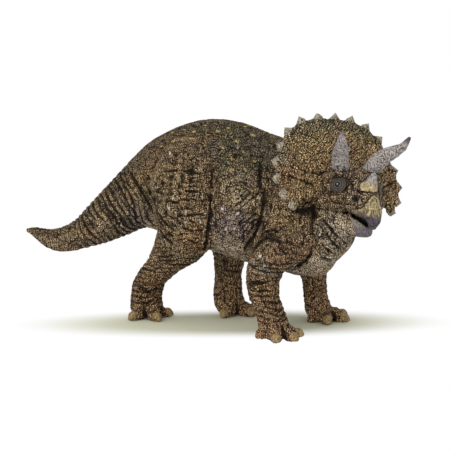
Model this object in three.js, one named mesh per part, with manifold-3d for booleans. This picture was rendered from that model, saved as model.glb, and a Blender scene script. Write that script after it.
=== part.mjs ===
// A moulded vinyl toy figure of a horned dinosaur, walking, with its head turned to its right.
// It is glued together from solid mouldings. The trunk carries the tail, the four legs and the head,
// and the head carries the lower jaw and the two brow horns. Each has a peg that sits in a socket.
// Millimetres. X runs forward, Y to the animal's left, Z up from the floor.
import * as THREE from 'three';
import { LoftGeometry } from 'three/addons/geometries/LoftGeometry.js';
import { mergeVertices } from 'three/addons/utils/BufferGeometryUtils.js';
import Module from 'manifold-3d';

const wasm = await Module();
wasm.setup();

// Body
const TRUNK_LENGTH = 119; // tail seam to throat
const TRUNK_WIDTH = 61;
const TRUNK_DEPTH = 73; // belly to the top of the back
const BELLY_HEIGHT = 31; // floor to belly
const NECK_TURN = 16; // how far the throat lies to the animal's right
const TAIL_LENGTH = 68; // tail seam to tip
const TAIL_WIDTH = 33; // at the seam
const TAIL_SWING = 14; // how far the tip lies to the animal's right

// Legs
const HIP_TO_SEAM = 29; // tail seam to the hip joint
const SHOULDER_BACK = 30; // end of the trunk back to the shoulder joint
const STRIDE = 26; // furthest that a foot stands from under its joint
const THIGH_LENGTH = 42; // fore and aft
const THIGH_THICKNESS = 24;
const UPPER_ARM_LENGTH = 34; // fore and aft
const UPPER_ARM_THICKNESS = 22;

// Feet
const SOLE_LENGTH = 17; // without the toes
const SOLE_WIDTH = 16;
const ANKLE_HEIGHT = 9;
const TOE_LENGTH = 11;
const TOE_WIDTH = 7.4;
const TOE_HEIGHT = 7.6;
const CLAW_LENGTH = 5;
const CLAW_WIDTH = 5;
const CLAW_HEIGHT = 5.2;

// Head, in its own frame: its origin lies on the skull roof, midway between the brow horns
const HEAD_HEIGHT = 85; // floor to the skull roof
const HEAD_REACH = 0.8; // end of the trunk forward to the skull roof
const HEAD_SIDE = 12; // how far the skull roof lies to the animal's right
const HEAD_YAW_DEGREES = 32;
const HEAD_ROLL_DEGREES = 8;
const FACE_LENGTH = 23; // skull roof to the front of the beak
const FACE_DEPTH = 25; // skull roof down to the hook of the beak
const SKULL_WIDTH = 32;
const SKULL_BACK = 16; // skull roof back to the nape
const BEAK_WIDTH = 12;
const BEAK_DEPTH = 11;
const CHEEK_SPREAD = 40; // between the tips of the cheek spikes
const CHEEK_DEPTH = 10;
const CHEEK_THICKNESS = 7;
const BROW_SIZE = 10; // the raised ring round a brow horn's root
const EYE_DIAMETER = 5;
const EYE_SPREAD = 26;
const NOSE_HORN_LENGTH = 9.4; // fore and aft at its root
const NOSE_HORN_WIDTH = 7.6;
const NOSE_HORN_HEIGHT = 9.6;
const JAW_BACK = 2; // skull roof forward to where the lower jaw meets the throat
const THROAT_WIDTH = 30;
const THROAT_DEPTH = 22;

// Frill
const FRILL_WIDTH = 71.5;
const FRILL_RISE = 21.3; // rim above the skull roof
const FRILL_DROP = 20.2; // lower corners below the skull roof
const FRILL_SWEEP = 22.5; // top of the rim behind the skull roof
const FRILL_EDGE = 2.4; // thickness at the rim
const FRILL_ROOT = 10; // thickness where it leaves the skull
const STUD_COUNT = 17;
const STUD_WIDTH = 5;
const STUD_HEIGHT = 4;

// Brow horns
const HORN_SPREAD = 18; // between the two roots
const HORN_REACH = 13.2; // root to tip, forward
const HORN_SPLAY = 10.8; // root to tip, sideways
const HORN_RISE = 18;
const HORN_THICKNESS = 8.8;

// Fits between the mouldings
const SEAM_GAP = 0.35; // left between two glued mouldings
const PEG_WIDTH = 9;
const PEG_CORE = 5; // left of the trunk between two opposite leg pegs
const HIP_FACE = 12; // middle plane to the flat inner face of a thigh or upper arm
const TAIL_PEG_LENGTH = 11;
const NECK_PEG_LENGTH = 8;
const JAW_PEG_WIDTH = 6;
const JAW_PEG_LENGTH = 5;
const HORN_PEG_WIDTH = 4;
const HORN_PEG_LENGTH = 4.5;
const OVERRUN = 60; // how far a cutting block runs past what it cuts

// Main folds of the hide, in millimetres
const FOLD_WIDTH = 1.6;
const FOLD_DEPTH = 0.9;

// How finely a shape is divided
const DOME_RINGS = 2;
const DOME_TIP_SHARE = 0.2; // of a ring, left blunt at the tip
const SPINE_SIDES = 24;
const SPINE_RINGS_PER_SPAN = 2;
const LEG_SIDES = 14;
const SKULL_SIDES = 16;
const HORN_SIDES = 10;
const STUD_SIDES = 6;
const LUMP_SIDES = 8;
const LUMP_RINGS = 5;
const FRILL_RINGS = 24;

const FORWARD = new THREE.Vector3(1, 0, 0);
const LEFTWARD = new THREE.Vector3(0, 1, 0);
const DOWN = new THREE.Vector3(0, 0, -1);
const RIGHT = -1;
const LEFT = 1;

const SKIN = { color: 0x5d4c37, roughness: 0.62, metalness: 0 };
const HORN = { color: 0x9a8f88, roughness: 0.55, metalness: 0 };
const BEAK = { color: 0x6d6250, roughness: 0.5, metalness: 0 };

// A closed geometry as a solid that can be joined and cut.
function solidOf(geometry) {
  const shell = new THREE.BufferGeometry();
  shell.setAttribute('position', geometry.getAttribute('position'));
  shell.setIndex(geometry.index);
  const merged = mergeVertices(shell);
  return new wasm.Manifold(new wasm.Mesh({
    numProp: 3,
    vertProperties: merged.attributes.position.array,
    triVerts: new Uint32Array(merged.index.array),
  }));
}

// A solid as a named mesh with its finish.
function meshOf(name, solid, finish) {
  const { vertProperties, triVerts } = solid.getMesh();
  const geometry = new THREE.BufferGeometry();
  geometry.setAttribute('position', new THREE.BufferAttribute(vertProperties, 3));
  geometry.setIndex(new THREE.BufferAttribute(triVerts, 1));
  geometry.computeVertexNormals();
  const mesh = new THREE.Mesh(geometry, new THREE.MeshStandardMaterial(finish));
  mesh.name = name;
  return mesh;
}

// A value on the smooth curve through four neighbouring ones, between the middle two.
function smooth(a, b, c, d, t) {
  const curve = 2 * a - 5 * b + 4 * c - d;
  const twist = 3 * (b - c) + d - a;
  return b + 0.5 * t * (c - a + t * (curve + t * twist));
}

// The given stations with others between them. A station is [x, y, z, half width, half height].
function refine(stations, ringsPerSpan) {
  const at = (i) => stations[THREE.MathUtils.clamp(i, 0, stations.length - 1)];
  const fine = [];
  for (let i = 0; i < stations.length - 1; i++) {
    for (let k = 0; k < ringsPerSpan; k++) {
      const t = k / ringsPerSpan;
      fine.push(at(i).map((_, n) => smooth(at(i - 1)[n], at(i)[n], at(i + 1)[n], at(i + 2)[n], t)));
    }
  }
  fine.push(at(stations.length - 1));
  return fine;
}

// A ring of the dome that closes a body's end, k steps out from its last ring.
function domeRing(ring, length, k) {
  const angle = (k / (DOME_RINGS + DOME_TIP_SHARE)) * (Math.PI / 2);
  const centre = ring.centre.clone().addScaledVector(ring.along, length * Math.sin(angle));
  return { ...ring, centre, wide: ring.wide * Math.cos(angle), high: ring.high * Math.cos(angle) };
}

// A rounded body through stations, with a dome on each end. Its rings stand square to its middle line, or
// to a fixed direction, and are as wide across Y as the stations say. Lean narrows the upper half.
// Grown by a clearance on every side, it is the cutter of its own socket.
function bodyThrough(stations, { sides, domes, ringsPerSpan = 1, square = null, lean = 0, grow = 0 }) {
  const fine = refine(stations, ringsPerSpan);
  const centres = fine.map(([x, y, z]) => new THREE.Vector3(x, y, z));
  const rings = fine.map(([, , , wide, high], i) => {
    const before = centres[Math.max(i - 1, 0)];
    const after = centres[Math.min(i + 1, centres.length - 1)];
    const along = square ?? after.clone().sub(before).normalize();
    const side = LEFTWARD.clone().addScaledVector(along, -LEFTWARD.dot(along)).normalize();
    const top = along.clone().cross(side);
    return { centre: centres[i], along, side, top, wide: wide + grow, high: high + grow };
  });
  const steps = Array.from({ length: DOME_RINGS }, (_, k) => k + 1);
  const all = [
    ...steps.map((k) => domeRing(rings[0], -domes[0] - grow, k)).reverse(),
    ...rings,
    ...steps.map((k) => domeRing(rings[rings.length - 1], domes[1] + grow, k)),
  ];
  const sections = all.map(({ centre, side, top, wide, high }) => Array.from({ length: sides }, (_, j) => {
    const angle = (j / sides) * 2 * Math.PI;
    const narrow = 1 - lean * Math.sin(angle);
    return centre.clone()
      .addScaledVector(side, wide * narrow * Math.cos(angle))
      .addScaledVector(top, high * Math.sin(angle));
  }));
  return solidOf(new LoftGeometry(sections, { capStart: true, capEnd: true }));
}

// An egg-shaped lump, tipped nose down by its dip and then turned by its yaw.
function lump(centre, halfSizes, yaw = 0, dip = 0) {
  const shape = new THREE.SphereGeometry(1, LUMP_SIDES, LUMP_RINGS);
  shape.scale(...halfSizes);
  shape.rotateY(dip);
  shape.rotateZ(yaw);
  shape.translate(...centre);
  return solidOf(shape);
}

// A block between two opposite corners.
function block(corner, opposite) {
  const size = opposite.map((value, n) => Math.abs(value - corner[n]));
  const middle = opposite.map((value, n) => (value + corner[n]) / 2);
  const shape = new THREE.BoxGeometry(...size);
  shape.translate(...middle);
  return solidOf(shape);
}

// A thin wall across the figure, on edge along a route seen from the side.
function foldWall(route) {
  const points = route.map(([x, z]) => new THREE.Vector2(x, z));
  const last = points.length - 1;
  const sections = points.map((point, i) => {
    const along = points[Math.min(i + 1, last)].clone().sub(points[Math.max(i - 1, 0)]).normalize();
    const half = (FOLD_WIDTH / 2) * (i === 0 || i === last ? FOLD_TIP_SHARE : 1);
    return [[-half, 1], [half, 1], [half, -1], [-half, -1]].map(([aside, side]) => new THREE.Vector3(
      point.x - along.y * aside,
      side * OVERRUN,
      point.y + along.x * aside,
    ));
  });
  return solidOf(new LoftGeometry(sections, { capStart: true, capEnd: true }));
}

// A body with folds along routes seen from the side, each cut as deep as the same body made thinner.
function folded(body, thinner, routes) {
  return routes.reduce((rest, route) => rest.subtract(foldWall(route).subtract(thinner)), body);
}

// Height above the floor: shares up to 1 lie below the belly, and shares from 1 to 2 across the trunk.
function heightAt(share) {
  return share < 1 ? share * BELLY_HEIGHT : BELLY_HEIGHT + (share - 1) * TRUNK_DEPTH;
}

// Rows run forward from the tail seam: along, sideways, bottom, top, half width.
const TRUNK_SHARES = [
  [0.085, 0.00, 1.160, 1.886, 0.335],
  [0.185, 0.00, 1.130, 1.954, 0.395],
  [0.300, 0.00, 1.080, 1.995, 0.435],
  [0.420, 0.00, 1.035, 1.985, 0.475],
  [0.530, 0.00, 1.005, 1.932, 0.490],
  [0.630, 0.02, 0.975, 1.890, 0.460],
  [0.725, 0.10, 0.900, 1.870, 0.420],
  [0.800, 0.22, 0.920, 1.840, 0.390],
  [0.855, 0.36, 0.970, 1.780, 0.355],
  [0.890, 0.48, 1.060, 1.715, 0.315],
  [0.925, 0.59, 1.110, 1.635, 0.270],
  [0.962, 0.68, 1.165, 1.520, 0.205],
];
// Rows run back from the tail seam: along, sideways, bottom, top, half width.
const TAIL_SHARES = [
  [0.000, 0.08, 1.195, 1.800, 0.500],
  [0.145, 0.20, 1.142, 1.667, 0.405],
  [0.290, 0.36, 1.082, 1.524, 0.335],
  [0.435, 0.54, 1.038, 1.378, 0.270],
  [0.580, 0.72, 0.994, 1.233, 0.200],
  [0.710, 0.86, 0.968, 1.165, 0.155],
  [0.815, 0.94, 1.008, 1.148, 0.115],
  [0.905, 1.00, 1.068, 1.157, 0.075],
  [0.975, 1.00, 1.110, 1.146, 0.045],
];
// Folds of flank, shoulder, tail root and throat: each point's place along the trunk and its height.
const TRUNK_FOLD_SHARES = [
  [[0.020, 1.64], [0.050, 1.56], [0.080, 1.46], [0.095, 1.38]],
  [[0.440, 1.86], [0.452, 1.76], [0.455, 1.65], [0.455, 1.52], [0.450, 1.38]],
  [[0.500, 1.79], [0.522, 1.67], [0.530, 1.56]],
  [[0.540, 1.85], [0.560, 1.73], [0.580, 1.60]],
  [[0.568, 1.32], [0.568, 1.26], [0.554, 1.19]],
  [[0.607, 1.83], [0.622, 1.70], [0.630, 1.58], [0.628, 1.46], [0.612, 1.34], [0.585, 1.22]],
  [[0.872, 1.53], [0.876, 1.42], [0.885, 1.30], [0.893, 1.23]],
  [[0.905, 1.44], [0.926, 1.39], [0.950, 1.335]],
  [[0.900, 1.30], [0.917, 1.22], [0.938, 1.15]],
];
const FOLD_TIP_SHARE = 0.3; // of a fold's width, at its ends
const BREAST_DOME_SHARE = 0.028; // of the trunk's length
const TAIL_DOME_SHARE = 0.03; // of the tail's length
const SPINE_LEAN_SHARE = 0.08;

// Trunk and tail as one body, from the tip of the tail to the throat.
function spineBody(grow = 0) {
  const tail = TAIL_SHARES.map(([along, sideways, bottom, top, wide]) => [
    -along * TAIL_LENGTH,
    -sideways * TAIL_SWING,
    (heightAt(top) + heightAt(bottom)) / 2,
    wide * TAIL_WIDTH,
    (heightAt(top) - heightAt(bottom)) / 2,
  ]);
  const trunk = TRUNK_SHARES.map(([along, sideways, bottom, top, wide]) => [
    along * TRUNK_LENGTH,
    -sideways * NECK_TURN,
    (heightAt(top) + heightAt(bottom)) / 2,
    wide * TRUNK_WIDTH,
    (heightAt(top) - heightAt(bottom)) / 2,
  ]);
  const domes = [TAIL_DOME_SHARE * TAIL_LENGTH, BREAST_DOME_SHARE * TRUNK_LENGTH];
  return bodyThrough([...tail.reverse(), ...trunk], {
    sides: SPINE_SIDES,
    ringsPerSpan: SPINE_RINGS_PER_SPAN,
    domes,
    square: FORWARD,
    lean: SPINE_LEAN_SHARE,
    grow,
  });
}

// The tail's square peg, lengthwise through the seam.
function tailPeg(grow) {
  const half = PEG_WIDTH / 2 + grow;
  const [, , bottom, top] = TAIL_SHARES[0];
  const middle = (heightAt(top) + heightAt(bottom)) / 2;
  return block([-TAIL_PEG_LENGTH, -half, middle - half], [TAIL_PEG_LENGTH + grow, half, middle + half]);
}

// Leg rows run down: height, forward, sideways, half length, half thickness. Forward is a share of the
// stride, sideways a share of half the trunk's width, and the last two are shares of the leg's own sizes.
const HIND_RIGHT_SHARES = [
  [1.810, 0.10, 0.41, 0.300, 0.490],
  [1.700, 0.13, 0.50, 0.450, 0.530],
  [1.600, 0.16, 0.56, 0.515, 0.555],
  [1.466, 0.18, 0.60, 0.525, 0.570],
  [1.329, 0.19, 0.62, 0.485, 0.550],
  [1.233, 0.14, 0.61, 0.415, 0.500],
  [1.123, -0.05, 0.57, 0.370, 0.435],
  [1.014, -0.29, 0.53, 0.325, 0.396],
  [0.839, -0.60, 0.51, 0.255, 0.375],
  [0.600, -0.85, 0.49, 0.208, 0.354],
  [0.355, -0.93, 0.46, 0.200, 0.346],
  [0.160, -0.93, 0.44, 0.215, 0.350],
];
const HIND_LEFT_SHARES = [
  [1.810, 0.10, 0.41, 0.300, 0.490],
  [1.700, 0.13, 0.50, 0.450, 0.530],
  [1.600, 0.16, 0.56, 0.515, 0.555],
  [1.466, 0.20, 0.60, 0.510, 0.570],
  [1.329, 0.25, 0.61, 0.450, 0.540],
  [1.219, 0.30, 0.60, 0.365, 0.490],
  [1.096, 0.35, 0.55, 0.280, 0.430],
  [0.968, 0.37, 0.50, 0.212, 0.380],
  [0.677, 0.36, 0.45, 0.170, 0.333],
  [0.355, 0.36, 0.43, 0.190, 0.325],
  [0.160, 0.42, 0.43, 0.210, 0.340],
];
const FORE_RIGHT_SHARES = [
  [1.644, 0.10, 0.65, 0.220, 0.270],
  [1.534, 0.06, 0.71, 0.330, 0.370],
  [1.397, 0.06, 0.77, 0.430, 0.440],
  [1.260, 0.05, 0.81, 0.485, 0.477],
  [1.150, -0.15, 0.85, 0.425, 0.500],
  [1.055, -0.37, 0.87, 0.290, 0.477],
  [0.903, -0.45, 0.86, 0.240, 0.430],
  [0.645, -0.43, 0.83, 0.215, 0.405],
  [0.387, -0.32, 0.79, 0.220, 0.380],
  [0.160, -0.25, 0.77, 0.235, 0.390],
];
const FORE_LEFT_SHARES = [
  [1.644, 0.10, 0.60, 0.220, 0.250],
  [1.534, 0.10, 0.65, 0.370, 0.360],
  [1.397, 0.02, 0.70, 0.456, 0.430],
  [1.260, -0.06, 0.74, 0.410, 0.455],
  [1.150, -0.13, 0.75, 0.350, 0.455],
  [1.055, -0.22, 0.74, 0.300, 0.430],
  [0.903, -0.25, 0.72, 0.240, 0.400],
  [0.645, -0.20, 0.72, 0.180, 0.373],
  [0.387, -0.17, 0.72, 0.182, 0.364],
  [0.160, -0.10, 0.72, 0.210, 0.380],
];
// Folds of thigh and upper arm: each point's distance ahead of the leg's middle line, as a share of the
// leg's fore and aft size, and its height.
const HIND_FOLD_SHARES = [
  [[-0.30, 1.65], [-0.10, 1.675], [0.10, 1.675], [0.34, 1.66]],
  [[-0.45, 1.515], [-0.20, 1.515]],
  [[0.06, 1.55], [0.31, 1.53]],
  [[-0.44, 1.40], [-0.29, 1.34], [-0.14, 1.295], [0.02, 1.25]],
  [[-0.38, 1.34], [-0.23, 1.27], [-0.08, 1.225], [0.10, 1.185]],
  [[-0.15, 1.38], [0.08, 1.375], [0.32, 1.395]],
  [[0.08, 1.285], [0.33, 1.285]],
];
const FORE_FOLD_SHARES = [
  [[-0.34, 1.28], [-0.26, 1.315], [-0.15, 1.335], [-0.03, 1.32], [0.08, 1.27]],
  [[-0.14, 0.955], [0, 0.935], [0.11, 0.95], [0.17, 0.985]],
];
const LEG_DOME_SHARE = 0.14; // of the leg's fore and aft size
const LEG_PEG_SHARE = 1.5; // height of the hip and shoulder pegs
const LEDGE_SHARE = 1.2; // height where the flat inner face starts

// Shares of a toe's own sizes, and of a claw's.
const TOE_INSET_SHARE = 0.2;
const TOE_REST_SHARE = 0.34;
const CLAW_OUT_SHARE = 0.36;
const CLAW_REST_SHARE = 0.34;
const PAD_REST_SHARE = 0.3;
const TOE_DIP_DEGREES = 22;

// Each foot: how far it lies ahead of its ankle and to its left, as shares of the sole, how far it is turned,
// and its toes in degrees from straight ahead, positive to the animal's left, each with or without a claw.
const HIND_RIGHT_FOOT = { shares: [0.0, 0.04], turn: -4, toes: [[-104, 1], [-30, 1], [36, 1], [100, 0]] };
const HIND_LEFT_FOOT = { shares: [0.12, 0.02], turn: 4, toes: [[-98, 1], [-14, 1], [42, 1], [105, 0]] };
const FORE_RIGHT_FOOT = { shares: [0.08, 0], turn: -8, toes: [[-140, 0], [-60, 1], [-8, 1], [40, 1], [100, 0]] };
const FORE_LEFT_FOOT = { shares: [0.2, 0], turn: 6, toes: [[-66, 1], [-4, 1], [46, 1], [105, 0], [-125, 0]] };

// Sole pad, toes and claws round an ankle.
function footSolids([ankleX, ankleY], { shares, turn, toes }) {
  const x = ankleX + shares[0] * SOLE_LENGTH;
  const y = ankleY + shares[1] * SOLE_WIDTH;
  const yaw = THREE.MathUtils.degToRad(turn);
  const dip = THREE.MathUtils.degToRad(TOE_DIP_DEGREES);
  const padSizes = [SOLE_LENGTH / 2, SOLE_WIDTH / 2, ANKLE_HEIGHT / 2];
  const solids = [lump([x, y, PAD_REST_SHARE * ANKLE_HEIGHT], padSizes, yaw)];
  toes.forEach(([degrees, clawed]) => {
    const fan = THREE.MathUtils.degToRad(degrees);
    const rim = Math.hypot((SOLE_LENGTH / 2) * Math.cos(fan), (SOLE_WIDTH / 2) * Math.sin(fan));
    const place = (out, up) => [x + out * Math.cos(fan + yaw), y + out * Math.sin(fan + yaw), up];
    const out = rim - TOE_INSET_SHARE * TOE_LENGTH;
    const toeSizes = [TOE_LENGTH / 2, TOE_WIDTH / 2, TOE_HEIGHT / 2];
    solids.push(lump(place(out, TOE_REST_SHARE * TOE_HEIGHT), toeSizes, fan + yaw, dip));
    if (clawed) {
      const clawSizes = [CLAW_LENGTH / 2, CLAW_WIDTH / 2, CLAW_HEIGHT / 2];
      const clawPlace = place(out + CLAW_OUT_SHARE * TOE_LENGTH, CLAW_REST_SHARE * CLAW_HEIGHT);
      solids.push(lump(clawPlace, clawSizes, fan + yaw, dip));
    }
  });
  return solids;
}

// Where a leg's middle line is at a height, along the trunk. Stations run down.
function legAlong(stations, height) {
  const below = stations.findIndex(([, , z]) => z < height);
  const [upperX, , upperZ] = stations[below - 1];
  const [lowerX, , lowerZ] = stations[below];
  return THREE.MathUtils.mapLinear(height, upperZ, lowerZ, upperX, lowerX);
}

// One leg. Its thigh or upper arm has a flat inner face with a square peg, and its sole is flat.
function legBody({ rows, side, foot, folds, toSeam, length, thickness }, grow = 0) {
  const stations = rows.map(([height, forward, sideways, long, thick]) => [
    toSeam + forward * STRIDE,
    side * sideways * (TRUNK_WIDTH / 2),
    heightAt(height),
    thick * thickness,
    long * length,
  ]);
  const dome = LEG_DOME_SHARE * length;
  const shape = { sides: LEG_SIDES, domes: [dome, dome], square: DOWN };
  const grown = (amount) => bodyThrough(stations, { ...shape, grow: amount });
  const routes = folds.map((route) => route.map(([ahead, height]) => [
    legAlong(stations, heightAt(height)) + ahead * length,
    heightAt(height),
  ]));
  const limb = grow > 0 ? grown(grow) : folded(grown(0), grown(-FOLD_DEPTH), routes);
  const ledge = heightAt(LEDGE_SHARE) + grow;
  const face = side * (HIP_FACE - grow);
  const core = block([toSeam - OVERRUN, -side * OVERRUN, ledge], [toSeam + OVERRUN, face, ledge + OVERRUN]);
  const half = PEG_WIDTH / 2 + grow;
  const pegHeight = heightAt(LEG_PEG_SHARE);
  const peg = block(
    [toSeam - half, side * (PEG_CORE / 2 - grow), pegHeight - half],
    [toSeam + half, side * (HIP_FACE + PEG_WIDTH / 2), pegHeight + half],
  );
  const solids = grow > 0 ? [peg] : [peg, ...footSolids(stations[stations.length - 1], foot)];
  return solids.reduce((sum, solid) => sum.add(solid), limb.subtract(core)).trimByPlane([0, 0, 1], 0);
}

const HIND = {
  toSeam: HIP_TO_SEAM,
  length: THIGH_LENGTH,
  thickness: THIGH_THICKNESS,
  folds: HIND_FOLD_SHARES,
};
const FORE = {
  toSeam: TRUNK_LENGTH - SHOULDER_BACK,
  length: UPPER_ARM_LENGTH,
  thickness: UPPER_ARM_THICKNESS,
  folds: FORE_FOLD_SHARES,
};
const LEGS = [
  { name: 'hind_leg_right', rows: HIND_RIGHT_SHARES, side: RIGHT, foot: HIND_RIGHT_FOOT, ...HIND },
  { name: 'hind_leg_left', rows: HIND_LEFT_SHARES, side: LEFT, foot: HIND_LEFT_FOOT, ...HIND },
  { name: 'foreleg_right', rows: FORE_RIGHT_SHARES, side: RIGHT, foot: FORE_RIGHT_FOOT, ...FORE },
  { name: 'foreleg_left', rows: FORE_LEFT_SHARES, side: LEFT, foot: FORE_LEFT_FOOT, ...FORE },
];

// Skull rows run forward: along, bottom, top, half width. Along is a share of the skull's back behind the
// roof and of the face ahead of it, and heights are shares of the face's depth below the roof.
const SKULL_SHARES = [
  [-0.80, 0.80, -0.10, 0.420],
  [-0.40, 0.84, -0.06, 0.450],
  [0.00, 0.84, -0.01, 0.405],
  [0.18, 0.84, 0.08, 0.355],
  [0.35, 0.84, 0.22, 0.270],
  [0.52, 0.84, 0.34, 0.205],
  [0.68, 0.84, 0.45, 0.150],
];
const SKULL_DOME_SHARE = 0.1; // of the skull's back, and of the face
const BEAK_SHARES = [
  [0.38, 0.69, 0.52, 0.51],
  [0.60, 0.68, 0.47, 0.52],
  [0.78, 0.80, 0.35, 0.44],
  [0.84, 0.94, 0.22, 0.32],
  [0.82, 1.05, 0.10, 0.14],
];
const BEAK_DOME_SHARE = 0.05;
const CHEEK_SHARES = [
  [0.34, 0.16, 0.62, 0.560, 0.560],
  [0.14, 0.50, 0.62, 0.580, 0.800],
  [0.04, 0.78, 0.65, 0.420, 0.440],
  [0.00, 0.96, 0.68, 0.110, 0.150],
];
const CHEEK_DOME_SHARE = 0.04;
// Throat and lower jaw, in rows that run forward under the head: along, down, half depth, half width.
const CHIN_SHARES = [
  [-1.25, 0.60, 0.340, 0.280],
  [-0.70, 0.78, 0.440, 0.410],
  [-0.20, 0.96, 0.430, 0.430],
  [0.10, 1.06, 0.355, 0.360],
  [0.28, 1.08, 0.250, 0.270],
  [0.46, 1.11, 0.185, 0.190],
  [0.62, 1.14, 0.135, 0.135],
  [0.76, 1.165, 0.090, 0.090],
  [0.83, 1.18, 0.050, 0.050],
];
const CHIN_DOME_SHARES = [0.1, 0.02]; // of its width
const JAW_PEG_SHARES = [0.24, 0.98]; // along and down the face

// Along the head: a share of the skull's back behind the roof, and of the face ahead of it.
function headAlong(share) {
  return share * (share < 0 ? SKULL_BACK : FACE_LENGTH);
}

function skullBody(grow) {
  const stations = SKULL_SHARES.map(([along, bottom, top, wide]) => [
    headAlong(along),
    0,
    -((bottom + top) * FACE_DEPTH) / 2,
    wide * SKULL_WIDTH,
    ((bottom - top) * FACE_DEPTH) / 2,
  ]);
  const domes = [SKULL_DOME_SHARE * SKULL_BACK, SKULL_DOME_SHARE * FACE_LENGTH];
  return bodyThrough(stations, { sides: SKULL_SIDES, domes, grow });
}

// The horny upper beak, hooked down at its tip.
function beakBody(grow = 0) {
  const stations = BEAK_SHARES.map(([along, down, wide, high]) => [
    headAlong(along),
    0,
    -down * FACE_DEPTH,
    wide * BEAK_WIDTH,
    high * BEAK_DEPTH,
  ]);
  const dome = BEAK_DOME_SHARE * BEAK_DEPTH;
  return bodyThrough(stations, { sides: HORN_SIDES, domes: [dome, dome], grow });
}

// A cheek that runs out from the face to its pointed tip.
function cheekBody(side, grow) {
  const stations = CHEEK_SHARES.map(([along, out, down, high, thick]) => [
    headAlong(along),
    side * out * (CHEEK_SPREAD / 2),
    -down * FACE_DEPTH,
    thick * CHEEK_THICKNESS,
    high * CHEEK_DEPTH,
  ]);
  const dome = CHEEK_DOME_SHARE * CHEEK_DEPTH;
  return bodyThrough(stations, { sides: HORN_SIDES, domes: [dome, dome], grow });
}

// The low horn over the nostrils: shares of its own sizes, from its root up.
const NOSE_HORN_ROOT_SHARES = [0.52, 0.4];
const NOSE_HORN_SHARES = [
  [0.00, 0.00, 0.50],
  [0.05, 0.30, 0.44],
  [0.18, 0.62, 0.28],
  [0.30, 0.92, 0.12],
];
const NOSE_HORN_DOME_SHARE = 0.06;

function noseHornBody() {
  const [along, down] = NOSE_HORN_ROOT_SHARES;
  const stations = NOSE_HORN_SHARES.map(([forward, up, half]) => [
    headAlong(along) + forward * NOSE_HORN_LENGTH,
    0,
    -down * FACE_DEPTH + up * NOSE_HORN_HEIGHT,
    half * NOSE_HORN_WIDTH,
    half * NOSE_HORN_LENGTH,
  ]);
  const dome = NOSE_HORN_DOME_SHARE * NOSE_HORN_HEIGHT;
  return bodyThrough(stations, { sides: HORN_SIDES, domes: [dome, dome], square: DOWN.clone().negate() });
}

// The run of throat and lower jaw, whole. A thinner one keeps its length.
function chinBody(grow = 0) {
  const stations = CHIN_SHARES.map(([along, down, high, wide]) => [
    headAlong(along),
    0,
    -down * FACE_DEPTH,
    wide * THROAT_WIDTH,
    high * THROAT_DEPTH,
  ]);
  const domes = CHIN_DOME_SHARES.map((share) => share * THROAT_WIDTH - Math.min(grow, 0));
  return bodyThrough(stations, { sides: SKULL_SIDES, domes, grow });
}

// The lower jaw's square peg, up into the skull.
function jawPeg(grow = 0) {
  const [along, down] = JAW_PEG_SHARES;
  const half = JAW_PEG_WIDTH / 2 + grow;
  const middle = headAlong(along);
  const top = -SKULL_SHARES[0][1] * FACE_DEPTH + JAW_PEG_LENGTH + grow;
  return block([middle - half, -half, -down * FACE_DEPTH], [middle + half, half, top]);
}

function jawBody() {
  const clear = [skullBody(SEAM_GAP), cheekBody(RIGHT, SEAM_GAP), cheekBody(LEFT, SEAM_GAP), beakBody(SEAM_GAP)];
  return clear
    .reduce((rest, cutter) => rest.subtract(cutter), chinBody().trimByPlane([1, 0, 0], JAW_BACK + SEAM_GAP))
    .add(jawPeg());
}

function throatBody(grow = 0) {
  return chinBody(grow).trimByPlane([-1, 0, 0], -JAW_BACK);
}

// Trunk, tail and throat, whole.
function torsoBody(grow = 0) {
  return spineBody(grow).add(onHead(throatBody(grow)));
}

// Rim rows run from the top of the frill down one side: back, sideways, and up, or down where negative.
const RIM_SHARES = [
  [0.99, 0.00, 1.00],
  [1.00, 0.27, 0.98],
  [1.00, 0.54, 0.86],
  [0.94, 0.755, 0.61],
  [0.84, 0.885, 0.27],
  [0.71, 0.98, -0.07],
  [0.54, 1.00, -0.44],
  [0.38, 0.94, -0.77],
  [0.28, 0.82, -1.00],
];
const FRILL_SWELL_SHARE = 0.02; // of the frill's width, how far its face bows forward
const FRILL_ROOT_SHARES = [0.55, 0.58, 0.42]; // back and sideways on the skull, and down the face
const FRILL_PROFILE_SHARES = [0, 0.33, 0.66, 0.92, 1];
const STUD_OUT_SHARE = 0.16;
const STUD_FLAT_SHARE = 0.7;

// A point of the rim, from -1 at the right lower corner through 0 at the top to 1 at the left one.
function rimPoint(turn) {
  const last = RIM_SHARES.length - 1;
  const place = Math.min(Math.abs(turn), 1) * last;
  const i = Math.min(Math.floor(place), last - 1);
  const mirrored = (n) => (n < 0 ? [RIM_SHARES[-n][0], -RIM_SHARES[-n][1], RIM_SHARES[-n][2]] : RIM_SHARES[n]);
  const [a, b, c, d] = [mirrored(i - 1), mirrored(i), mirrored(i + 1), mirrored(Math.min(i + 2, last))];
  const [back, sideways, up] = b.map((_, n) => smooth(a[n], b[n], c[n], d[n], place - i));
  return new THREE.Vector3(
    -back * FRILL_SWEEP,
    Math.sign(turn) * sideways * (FRILL_WIDTH / 2),
    up * (up < 0 ? FRILL_DROP : FRILL_RISE),
  );
}

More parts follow.
